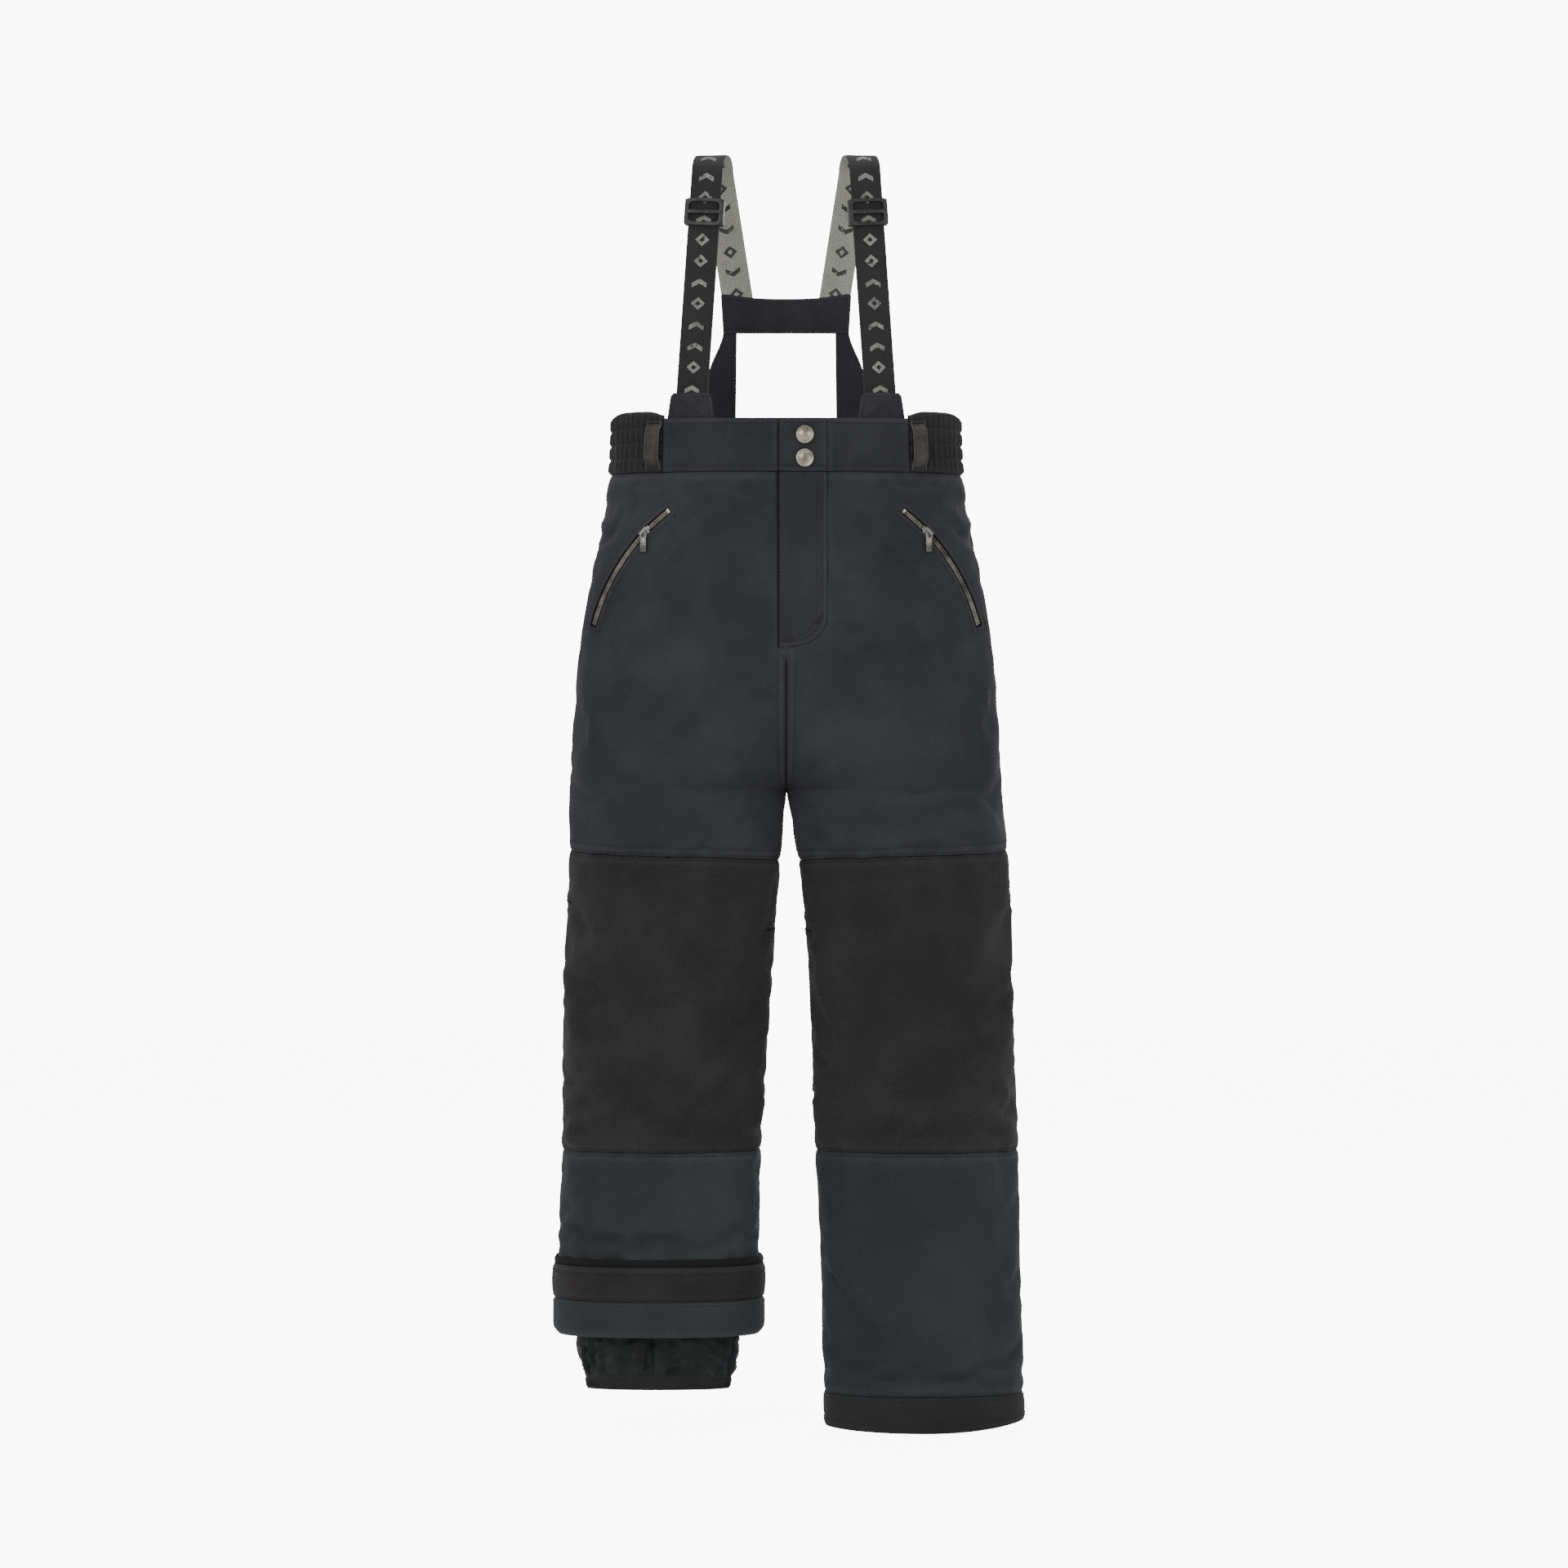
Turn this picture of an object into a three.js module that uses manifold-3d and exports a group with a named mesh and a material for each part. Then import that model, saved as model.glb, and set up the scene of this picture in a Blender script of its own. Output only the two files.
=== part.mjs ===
// Child's ski pants with shoulder straps, hanging upright by the straps. Millimetres, +Z up.
// The front faces -Y. "left" and "right" are the wearer's, so left is +X.
// The origin lies midway between the tops of the two shoulder straps.
import * as THREE from "three";
import { mergeVertices } from "three/addons/utils/BufferGeometryUtils.js";
import Module from "manifold-3d";

const wasm = await Module();
wasm.setup();

// Lengths down the garment
const strapRise = 231;
const sideRise = 6.5;
const waistbandHeight = 46;
const riseLength = 270;
const forkHeight = 90;
const thighLength = 57;
const kneeLength = 254;
const leftShinLength = 210;
const hemHeight = 31;
const rolledShinLength = 157;
const cuffHeight = 57;
const gaiterDrop = 50;
const elasticHeight = 8;

// Half-widths and depths of the body, from the centre line
const waistHalfWidth = 149.5;
const waistDepth = 50;
const hipHalfWidth = 177;
const seatHalfWidth = 183;
const crotchHalfWidth = 187;
const sectionPower = 2.4;

// Layers and clearances
const shellThickness = 3;
const bandThickness = 5;
const bandProud = 1;
const liningThickness = 1.2;
const seamGap = 0.6;
const fitGap = 0.4;

// Fly and snaps
const flyEdgeX = -7;
const flyHingeX = 35;
const flyLength = 150;
const flyCurveRise = 28;
const flyZipWidth = 4.6;
const guardLap = 12;
const snapX = 16;
const snapDrops = [14.5, 34.5];
const snapCapRadius = 7.5;
const snapPostRadius = 2;

// Pocket zips
const pocketTopX = 102;
const pocketTopDrop = 34;
const pocketRun = 63.6;
const pocketFall = 95.6;
const pocketRadius = 178;
const pocketInset = 1.5;
const zipTapeWidth = 14;
const zipTapeThickness = 0.9;
const zipCoilWidth = 4;
const zipCoilHeight = 2.2;
const sliderLength = 9;
const sliderWall = 0.9;
const sliderRestDistance = 27;
const pullLength = 16;

// Shoulder straps and yoke
const strapWidth = 27;
const strapThickness = 1.8;
const strapWaistX = 83.5;
const strapFrontTopX = 68;
const strapBackTopX = 59;
const strapYokeX = 38;
const shoulderRadius = 18;
const strapTuck = 19;
const yokeTopDrop = 116.5;
const yokeHeight = 33.5;
const yokeHalfWidth = 57;
const yokeThickness = 2.5;
const riserTopX = [43, 62];
const riserBottomX = [44, 76];
const adjusterDrop = 52;
const adjusterHeight = 24;
const adjusterWall = 1.6;
const adjusterSide = 3.2;

// Belt loops
const loopWidth = 13;
const loopStandoff = 5.2;
const loopThickness = 1.5;
const loopInset = 2;

// Heights of the seams, measured from the shoulder
const sideTopZ = -(strapRise - sideRise);
const bandTopZ = -strapRise;
const waistSeamZ = bandTopZ - waistbandHeight;
const crotchZ = waistSeamZ - riseLength;
const forkTopZ = crotchZ + forkHeight;
const kneeTopZ = crotchZ - thighLength;
const kneeBottomZ = kneeTopZ - kneeLength;
const hemTopZ = kneeBottomZ - leftShinLength;
const hemZ = hemTopZ - hemHeight;
const rolledEndZ = kneeBottomZ - rolledShinLength;
const cuffTopZ = rolledEndZ + cuffHeight;
const gaiterEndZ = rolledEndZ - gaiterDrop;
const hipZ = waistSeamZ - riseLength / 2;
const seatZ = waistSeamZ - riseLength * 0.75;
const kneeMidZ = kneeTopZ - kneeLength * 0.43;

// Each row: depth below the shoulder, outer and inner half-widths, front and back depths
const sharedRows = [
  [-sideTopZ, waistHalfWidth, 0, waistDepth, waistDepth],
  [-waistSeamZ, waistHalfWidth + 2.5, 0, waistDepth + 2, waistDepth + 3],
  [-hipZ, hipHalfWidth, 0, 57, 63],
  [-seatZ, seatHalfWidth, 0, 56, 66],
];
const legRows = {
  left: [
    [-crotchZ, crotchHalfWidth, 0.3, 53, 62],
    [-kneeTopZ, crotchHalfWidth + 5, 10, 51, 57],
    [-kneeMidZ, 195, 19.5, 49, 51],
    [-kneeBottomZ, 200.5, 25, 47, 48],
    [-(kneeBottomZ + hemTopZ) / 2, 202.5, 30, 46, 47],
    [-hemZ, 205.5, 33.5, 46, 46],
  ],
  right: [
    [-crotchZ, crotchHalfWidth, 0.3, 53, 62],
    [-kneeTopZ, crotchHalfWidth, 4.5, 51, 57],
    [-kneeMidZ, 192, 12.5, 49, 51],
    [-kneeBottomZ, 193.5, 21.5, 47, 48],
    [-(kneeBottomZ + rolledEndZ) / 2, 196, 23, 46, 47],
    [-rolledEndZ, 197, 23.5, 45, 46],
  ],
};

const sideSign = { left: 1, right: -1 };
const sideNames = ["left", "right"];

function profileOf(side) {
  const rows = [...sharedRows, ...legRows[side]];
  const positions = rows.map((row) => row[0]);
  const values = rows.flatMap((row) => row.slice(1));
  return new THREE.CubicInterpolant(positions, values, 4);
}

const profiles = { left: profileOf("left"), right: profileOf("right") };

// The horizontal section of one side: a superellipse that is half a body above the crotch
// and one whole leg below it.
function sectionAt(side, z) {
  const level = Math.min(z, sideTopZ);
  const [outer, inner, front, back] = profiles[side].evaluate(-level);
  const share = THREE.MathUtils.clamp((forkTopZ - level) / forkHeight, 0, 1);
  const reach = level > crotchZ ? (outer * (share - 1)) / (share + 1) : inner;
  return { centre: (outer + reach) / 2, half: (outer - reach) / 2, reach, front, back };
}

function superDepth(section, x, depth = section.front) {
  const share = Math.min(Math.abs((x - section.centre) / section.half), 1);
  return depth * (1 - share ** sectionPower) ** (1 / sectionPower);
}

function softMinimum(a, b, width) {
  const overlap = Math.max(width - Math.abs(a - b), 0) / width;
  return Math.min(a, b) - (overlap * overlap * width) / 4;
}

// The pocket facet: a vertical plane through both ends of the zip, pressed in a little,
// so that the zip lies flat and its slider runs on a true arc.
const pocketTopZ = waistSeamZ - pocketTopDrop;
const pocketTopDepth = superDepth(sectionAt("left", pocketTopZ), pocketTopX);
const pocketEndDepth = superDepth(
  sectionAt("left", pocketTopZ - pocketFall), pocketTopX + pocketRun);
const pocketSlope = (pocketTopDepth - pocketEndDepth) / pocketRun;
const pocketTilt = Math.atan(pocketSlope);

function facetDepth(x, z) {
  const fade = 0.25 * Math.max(forkTopZ - z, z - pocketTopZ - zipTapeWidth, 0);
  return pocketTopDepth - pocketInset - pocketSlope * (x - pocketTopX) + fade;
}

function frontDepth(side, x, z) {
  const plain = superDepth(sectionAt(side, z), x);
  return z < sideTopZ && z > kneeTopZ ? softMinimum(plain, facetDepth(x, z), pocketInset) : plain;
}

// turn runs from -1 (front centre or inseam) through 0 (side seam) to 1 (back centre or inseam).
function outlinePoint(section, side, z, angle, face) {
  const c = Math.cos(angle);
  const power = 2 / sectionPower;
  const x = section.centre + section.half * Math.sign(c) * Math.abs(c) ** power;
  const lift = Math.abs(Math.sin(angle)) ** power;
  const depth = face < 0 ? Math.min(section.front * lift, frontDepth(side, x, z)) : section.back * lift;
  return new THREE.Vector2(x, face * depth);
}

function skin(side, z, turn, offset = 0, gap = 0) {
  const section = sectionAt(side, z);
  const face = turn < 0 ? -1 : 1;
  const depth = face < 0 ? section.front : section.back;
  const start = Math.asin((gap / 2 / depth) ** (sectionPower / 2));
  const split = (section.centre - gap / 2) / section.half;
  const atCentre = Math.acos(-Math.sign(split) * Math.min(Math.abs(split), 1) ** (sectionPower / 2));
  const end = section.reach < gap / 2 ? Math.min(atCentre, Math.PI - start) : Math.PI - start;
  const angle = start + (end - start) * Math.abs(turn);
  const step = 0.012;
  const here = outlinePoint(section, side, z, angle, face);
  const ahead = outlinePoint(section, side, z, Math.min(angle + step, Math.PI), face);
  const behind = outlinePoint(section, side, z, Math.max(angle - step, 0), face);
  const along = ahead.sub(behind).normalize();
  const x = Math.max(here.x + face * along.y * offset, gap / 2);
  const reachY = Math.max(face * here.y - along.x * offset, gap / 2);
  return new THREE.Vector3(sideSign[side] * x, face * reachY, z);
}

// ---- solids from grids of points ----

function closedGeometry(positions, triangles) {
  const geometry = new THREE.BufferGeometry();
  geometry.setAttribute("position", new THREE.Float32BufferAttribute(positions, 3));
  const corner = (i) => new THREE.Vector3().fromArray(positions, 3 * i);
  let volume = 0;
  for (let i = 0; i < triangles.length; i += 3) {
    const [a, b, c] = triangles.slice(i, i + 3).map(corner);
    volume += a.dot(b.cross(c));
  }
  geometry.setIndex(volume < 0 ? triangles.toReversed() : triangles);
  return geometry;
}

// A slab with an outer and an inner layer of columns x rows cells. place(u, row, layer) gives
// each point, with u from 0 to 1. A ring has its last column joined to its first.
function slab(columns, rows, place, ring = false) {
  const width = ring ? columns : columns + 1;
  const height = rows + 1;
  const positions = [];
  for (let layer = 0; layer < 2; layer++) {
    for (let row = 0; row < height; row++) {
      for (let column = 0; column < width; column++) {
        positions.push(...place(column / columns, row, layer).toArray());
      }
    }
  }
  const at = (column, row, layer) => (layer * height + row) * width + (column % width);
  const triangles = [];
  const quad = (a, b, c, d) => triangles.push(a, b, c, a, c, d);
  for (let column = 0; column < columns; column++) {
    for (let row = 0; row < rows; row++) {
      quad(at(column, row, 0), at(column + 1, row, 0), at(column + 1, row + 1, 0), at(column, row + 1, 0));
      quad(at(column, row, 1), at(column, row + 1, 1), at(column + 1, row + 1, 1), at(column + 1, row, 1));
    }
    quad(at(column, 0, 1), at(column + 1, 0, 1), at(column + 1, 0, 0), at(column, 0, 0));
    quad(at(column, rows, 0), at(column + 1, rows, 0), at(column + 1, rows, 1), at(column, rows, 1));
  }
  for (let row = 0; row < rows && !ring; row++) {
    quad(at(0, row, 0), at(0, row + 1, 0), at(0, row + 1, 1), at(0, row, 1));
    quad(at(columns, row, 1), at(columns, row + 1, 1), at(columns, row + 1, 0), at(columns, row, 0));
  }
  return closedGeometry(positions, triangles);
}

const valueAt = (edge, u) => (typeof edge === "function" ? edge(u) : edge);

// Heights of count + 1 rows between two edges, each a number or a function of u.
function ladder(top, bottom, count) {
  return Array.from({ length: count + 1 }, (_, i) => (u) =>
    THREE.MathUtils.lerp(valueAt(top, u), valueAt(bottom, u), i / count));
}

// A sewn panel of one side, between two turns and along the given row heights.
function panel(side, from, to, columns, heights, outer = 0, inner = -shellThickness) {
  return slab(columns, heights.length - 1, (u, row, layer) => {
    const turn = THREE.MathUtils.lerp(from, to, u) || Math.sign(from + to) * Number.EPSILON;
    return skin(side, heights[row](Math.abs(turn)), turn, layer === 0 ? outer : inner, seamGap);
  });
}

// A closed sleeve round one leg. shape(side, z, turn, offset) defaults to the skin itself.
function sleeve(side, columns, heights, outer, inner, shape = skin) {
  return slab(columns, heights.length - 1, (u, row, layer) =>
    shape(side, heights[row](0), 2 * u - 1, layer === 0 ? outer : inner), true);
}

// ---- booleans ----

function toSolid(geometry) {
  const plain = geometry.clone();
  plain.deleteAttribute("normal");
  plain.deleteAttribute("uv");
  const merged = mergeVertices(plain, 1e-4);
  const kept = [];
  for (let i = 0; i < merged.index.count; i += 3) {
    const [a, b, c] = [0, 1, 2].map((k) => merged.index.getX(i + k));
    if (a !== b && b !== c && c !== a) kept.push(a, b, c);
  }
  const vertProperties = new Float32Array(merged.attributes.position.array);
  const triVerts = new Uint32Array(kept);
  return new wasm.Manifold(new wasm.Mesh({ numProp: 3, vertProperties, triVerts }));
}

function toGeometry(solid) {
  const { vertProperties, triVerts } = solid.getMesh();
  const geometry = new THREE.BufferGeometry();
  geometry.setAttribute("position", new THREE.Float32BufferAttribute(vertProperties, 3));
  geometry.setIndex(Array.from(triVerts));
  return geometry;
}

const joined = (...pieces) => toGeometry(pieces.map(toSolid).reduce((a, b) => a.add(b)));
const cut = (body, ...tools) => toGeometry([body, ...tools].map(toSolid).reduce((a, b) => a.subtract(b)));
const common = (body, tool) => toGeometry(toSolid(body).intersect(toSolid(tool)));

function box(width, depth, height, x = 0, y = 0, z = 0) {
  return new THREE.BoxGeometry(width, depth, height).translate(x, y, z);
}

// ---- the object ----

const pants = new THREE.Group();

function add(name, geometry, colour, roughness = 0.9, metalness = 0) {
  const material = new THREE.MeshStandardMaterial({ color: colour, roughness, metalness });
  const mesh = new THREE.Mesh(geometry, material);
  mesh.name = name;
  pants.add(mesh);
  return mesh;
}

const colours = {
  shell: 0x2a2c31, knee: 0x252425, shin: 0x2b3235, lining: 0x1c1d20, band: 0x27292e,
  webbing: 0x1a1a1a, reverse: 0x96968e, yoke: 0x2b2c34, coil: 0x5f5c55, pewter: 0x827d73,
  facing: 0x2e2724, gaiter: 0x1e1f21, slider: 0x3a3b3d,
};

const halfSeam = seamGap / 2;
const kneeEdgeDrop = 9;
const kneeTopEdge = (u) => kneeTopZ + 4 - kneeEdgeDrop * u;

// The J-shaped outline of the fly, as a prism through the front, grown by a clearance.
function flyPrism(grow) {
  const bottomZ = waistSeamZ - flyLength - grow;
  const hingeEndZ = bottomZ + flyCurveRise;
  const outline = new THREE.Shape();
  outline.moveTo(flyEdgeX - grow, bandTopZ + 20);
  outline.lineTo(flyEdgeX - grow, bottomZ);
  outline.quadraticCurveTo(flyHingeX + grow, bottomZ, flyHingeX + grow, hingeEndZ);
  outline.lineTo(flyHingeX + grow, bandTopZ + 20);
  const depth = 2 * waistDepth;
  const geometry = new THREE.ExtrudeGeometry(outline, { depth, bevelEnabled: false, curveSegments: 6 });
  return geometry.rotateX(Math.PI / 2);
}

// A patch of the front that crosses the centre line, between two x values.
function frontPatch(fromX, toX, heights, outer, inner, columns = 6) {
  return slab(columns, heights.length - 1, (u, row, layer) => {
    const x = THREE.MathUtils.lerp(fromX, toX, u);
    const z = heights[row](0);
    const depth = frontDepth(x < 0 ? "right" : "left", Math.abs(x), z);
    return new THREE.Vector3(x, -depth - (layer === 0 ? outer : inner), z);
  });
}

// In-plane frame of a pocket zip: u runs outwards from the zip's top end, v up, n out of the cloth.
const pocketU = pocketRun / Math.cos(pocketTilt);
const pocketChord = Math.hypot(pocketU, pocketFall);
const pocketSag = Math.sqrt(pocketRadius ** 2 - (pocketChord / 2) ** 2);
const pocketCentre = new THREE.Vector2(
  pocketU / 2 - (pocketSag * pocketFall) / pocketChord,
  -pocketFall / 2 - (pocketSag * pocketU) / pocketChord);
const pocketStartAngle = Math.atan2(-pocketCentre.y, -pocketCentre.x);
const pocketEndAngle = Math.atan2(-pocketFall - pocketCentre.y, pocketU - pocketCentre.x);

function pocketFrame(side) {
  const sign = sideSign[side];
  const outward = new THREE.Vector3(sign * Math.cos(pocketTilt), Math.sin(pocketTilt), 0);
  const up = new THREE.Vector3(0, 0, 1);
  const normal = new THREE.Vector3(sign * Math.sin(pocketTilt), -Math.cos(pocketTilt), 0);
  const origin = new THREE.Vector3(sign * pocketTopX, -facetDepth(pocketTopX, pocketTopZ), pocketTopZ);
  return new THREE.Matrix4().makeBasis(outward, up, normal).setPosition(origin);
}

function placed(geometry, matrix) {
  geometry.applyMatrix4(matrix);
  if (matrix.determinant() < 0) {
    const plain = geometry.index ? geometry : mergeVertices(geometry);
    plain.setIndex(Array.from(plain.index.array).toReversed());
    return plain;
  }
  return geometry;
}

// A band of constant width along the zip's arc, between two heights over the cloth.
function zipArc(width, low, high, extra = 0) {
  const swing = extra / pocketRadius;
  const outline = new THREE.Shape();
  outline.absarc(pocketCentre.x, pocketCentre.y, pocketRadius + width / 2,
    pocketEndAngle - swing, pocketStartAngle + swing, false);
  outline.absarc(pocketCentre.x, pocketCentre.y, pocketRadius - width / 2,
    pocketStartAngle + swing, pocketEndAngle - swing, true);
  const settings = { depth: high - low, bevelEnabled: false, curveSegments: 10 };
  return new THREE.ExtrudeGeometry(outline, settings).translate(0, 0, low);
}

const zipTapeTop = -shellThickness - fitGap;
const zipTapeBottom = zipTapeTop - zipTapeThickness;
const zipCoilTop = zipTapeTop + zipCoilHeight;
const sliderInnerWidth = zipCoilWidth + 2 * fitGap;
const sliderWidth = sliderInnerWidth + 2 * sliderWall;
const slotWidth = sliderWidth + 2 * fitGap;
const sliderRoof = zipCoilTop + fitGap;
const sliderTop = sliderRoof + 1.2;
const sliderFoot = zipTapeTop + fitGap;

for (const side of sideNames) {
  const frame = pocketFrame(side);

  // Front panel, cut for the fly and for the pocket slot
  const frontRows = [
    ...ladder(waistSeamZ - halfSeam, crotchZ, 9),
    ...ladder(crotchZ, (u) => kneeTopEdge(u) + halfSeam, 2).slice(1)];
  const slot = placed(zipArc(slotWidth, -8, 6, 3), frame);
  const tapeRoom = placed(zipArc(zipTapeWidth + 2 * fitGap, -12, zipTapeTop + fitGap, 3), frame);
  const front = panel(side, 0, -1, 14, frontRows);
  add(`front_panel_${side}`, cut(front, flyPrism(seamGap), slot, tapeRoom), colours.shell);

  const seatRows = [
    ...ladder(waistSeamZ - halfSeam, crotchZ, 8),
    ...ladder(crotchZ, (u) => kneeTopEdge(u) + halfSeam, 2).slice(1)];
  add(`seat_panel_${side}`, panel(side, 0, 1, 12, seatRows), colours.shell);

  // Pocket zip: tape with a raised coil, a slider over the coil and a pull hanging from its bridge
  const tape = zipArc(zipTapeWidth, zipTapeBottom, zipTapeTop, 2);
  const coil = zipArc(zipCoilWidth, zipTapeTop - 0.2, zipCoilTop);
  add(`pocket_zip_${side}`, placed(joined(tape, coil), frame), colours.coil, 0.6);

  const restAngle = pocketStartAngle - sliderRestDistance / pocketRadius;
  const rest = new THREE.Vector3(
    pocketCentre.x + pocketRadius * Math.cos(restAngle),
    pocketCentre.y + pocketRadius * Math.sin(restAngle), 0);
  const shoeHeight = sliderTop - sliderFoot;
  const shoe = cut(
    box(sliderWidth, sliderLength, shoeHeight, 0, 0, sliderFoot + shoeHeight / 2),
    box(sliderInnerWidth, sliderLength + 2, sliderRoof - sliderFoot + 1, 0, 0,
      (sliderRoof + sliderFoot - 1) / 2)).rotateZ(restAngle);
  const bridge = cut(box(2.2, 5, 3.2, 0, 0, sliderTop + 1.4), box(4, 3, 2, 0, 0, sliderTop + 1));
  add(`pocket_slider_${side}`, placed(joined(shoe, bridge).translate(rest.x, rest.y, 0), frame),
    colours.slider, 0.4, 0.8);

  const barZ = sliderTop + 1;
  const pull = joined(
    box(5.6, 1.1, 1.1, 0, 0, barZ),
    box(1.1, 5, 1.1, -2.25, -1.95, barZ),
    box(1.1, 5, 1.1, 2.25, -1.95, barZ),
    box(5.6, pullLength - 3.9, 1.1, 0, -(pullLength + 3.9) / 2, barZ));
  add(`pocket_pull_${side}`, placed(pull.translate(rest.x, rest.y, 0), frame), colours.slider, 0.4, 0.8);

  // Pocket bag, behind the zip tape
  const bagOuter = zipTapeBottom - 1.2 - pocketInset;
  const bagRows = ladder(waistSeamZ - 10, forkTopZ - 20, 4);
  add(`pocket_bag_${side}`, panel(side, -0.3, -0.78, 5, bagRows, bagOuter, bagOuter - 1), colours.lining);
}

// Lower legs
for (const side of sideNames) {
  const kneeRows = ladder((u) => kneeTopEdge(u) - halfSeam, kneeBottomZ + halfSeam, 6);
  add(`knee_panel_${side}`, panel(side, 0, -1, 10, kneeRows), colours.knee);
  add(`back_knee_panel_${side}`, panel(side, 0, 1, 10, kneeRows), colours.shell);
  const shinEndZ = side === "left" ? hemTopZ + halfSeam : rolledEndZ + fitGap;
  const shinRows = ladder(kneeBottomZ - halfSeam, shinEndZ, 3);
  add(`shin_panel_${side}`, panel(side, 0, -1, 10, shinRows), colours.shin);
  add(`calf_panel_${side}`, panel(side, 0, 1, 10, shinRows), colours.shell);
}

add("hem_band_left", sleeve("left", 26, ladder(hemTopZ - halfSeam, hemZ, 1), 0.6, -shellThickness - 0.6),
  colours.shell);
add("rolled_cuff_right", sleeve("right", 26, ladder(cuffTopZ, rolledEndZ, 3), 5.6, 1), colours.facing);

// Inner layers: linings, gaiters and their elastic
const liningOuter = -shellThickness - 6;
const liningInner = liningOuter - liningThickness;
const thighLiningZ = [kneeTopZ - 21, kneeMidZ + 15];
const shinLiningTopZ = kneeMidZ - 60;
const gaiterOuter = liningInner - 2.5;
const gaiterTopRise = 62;
const gaiterTaper = 13;

function gaiterShape(topZ, bottomZ) {
  return (side, z, turn, offset) =>
    skin(side, z, turn, offset - gaiterTaper * (topZ - z) / (topZ - bottomZ));
}

for (const side of sideNames) {
  add(`thigh_lining_${side}`, sleeve(side, 20, ladder(...thighLiningZ, 2), liningOuter, liningInner),
    colours.lining);
  const anchorZ = side === "left" ? hemTopZ : rolledEndZ;
  add(`shin_lining_${side}`,
    sleeve(side, 20, ladder(shinLiningTopZ, anchorZ + 34, 3), liningOuter, liningInner), colours.lining);
  const endZ = side === "left" ? hemTopZ - 10 : gaiterEndZ;
  const topZ = endZ + gaiterTopRise + gaiterDrop;
  const shape = gaiterShape(topZ, endZ);
  const gaiterRows = ladder(topZ, endZ + elasticHeight + halfSeam, 4);
  add(`snow_gaiter_${side}`, sleeve(side, 22, gaiterRows, gaiterOuter, gaiterOuter - 1.2, shape),
    colours.gaiter);
  const elasticRows = ladder(endZ + elasticHeight - halfSeam, endZ, 1);
  add(`gaiter_elastic_${side}`, sleeve(side, 22, elasticRows, gaiterOuter + 0.3, gaiterOuter - 2, shape),
    colours.gaiter);
}

// The body lining is one ring round both sides, ending above the fork.
const liningRows = ladder(waistSeamZ - 3, crotchZ + 57, 4);
const bodyRing = (u, row, layer) => {
  const lap = 4 * u;
  const offset = layer === 0 ? liningOuter - 1.5 : liningInner - 1.5;
  const z = liningRows[row](0);
  return lap < 2 ? skin("left", z, lap - 1, offset) : skin("right", z, 3 - lap, offset);
};
const liningRing = slab(32, liningRows.length - 1, bodyRing, true);
add("seat_lining", cut(liningRing, flyPrism(guardLap + 2)), colours.lining);

// ---- waistband ----

const bandInner = bandProud - bandThickness;
const bandRows = ladder(bandTopZ, waistSeamZ + halfSeam, 2);
const sideRows = ladder(sideTopZ, waistSeamZ + halfSeam, 2);
const frontBandTurn = 0.55;
const backBandTurn = 0.5;
const bandGapTurn = 0.004;

for (const side of sideNames) {
  const bandFront = panel(side, -frontBandTurn, -1, 8, bandRows, bandProud, bandInner);
  add(`waistband_front_${side}`, cut(bandFront, flyPrism(seamGap)), colours.band);
  const elastic = panel(side, bandGapTurn - frontBandTurn, backBandTurn - bandGapTurn, 14, sideRows,
    bandProud, bandInner);
  add(`side_elastic_${side}`, elastic, colours.band);
}

const backTurnX = (u) => {
  const lap = 2 * (1 - backBandTurn) * u;
  return lap < 1 - backBandTurn ? ["left", backBandTurn + lap] : ["right", 2 - backBandTurn - lap];
};
add("waistband_back", slab(14, 2, (u, row, layer) => {
  const [side, turn] = backTurnX(u);
  return skin(side, sideRows[row](0), turn, layer === 0 ? bandProud : bandInner);
}), colours.band);

// ---- fly ----

const patchFrom = flyEdgeX - 4;
const patchTo = flyHingeX + 4;
const guardFrom = flyEdgeX - guardLap;
const guardTo = flyHingeX + guardLap - 4;
const snapZs = snapDrops.map((drop) => bandTopZ - drop);
const snapDepth = (z) => frontDepth("left", snapX, z);

// A round piece on the snap axis, from radius and outward-height pairs.
function snapLathe(profile, z, segments = 16) {
  const points = profile.map(([radius, height]) => new THREE.Vector2(radius, height));
  const geometry = new THREE.LatheGeometry(points, segments).rotateX(Math.PI);
  return toGeometry(toSolid(geometry.rotateX(-Math.PI / 2).rotateX(Math.PI / 2))
    .translate([snapX, -snapDepth(z), z]));
}

const tabInner = bandInner + 0.5;
const snapSlope = (snapDepth(snapZs[0] - snapCapRadius) - snapDepth(snapZs[0] + snapCapRadius)) / 2;
const snapGap = 0.3 + snapSlope;
const postHoleRadius = snapPostRadius + fitGap;
const socketBack = tabInner - fitGap - 4;
const underlapOuter = socketBack - 2;

const snapHole = (z) => snapLathe([[0, -8], [postHoleRadius, -8], [postHoleRadius, 8], [0, 8]], z);
const tabPatch = frontPatch(patchFrom, patchTo, bandRows, bandProud, tabInner);
add("waistband_tab", cut(common(tabPatch, flyPrism(0)), ...snapZs.map(snapHole)), colours.band);

const flapRows = ladder(waistSeamZ - halfSeam, waistSeamZ - flyLength - 5, 6);
add("fly_placket", common(frontPatch(patchFrom, patchTo, flapRows, 0, -shellThickness), flyPrism(0)),
  colours.shell);

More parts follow.
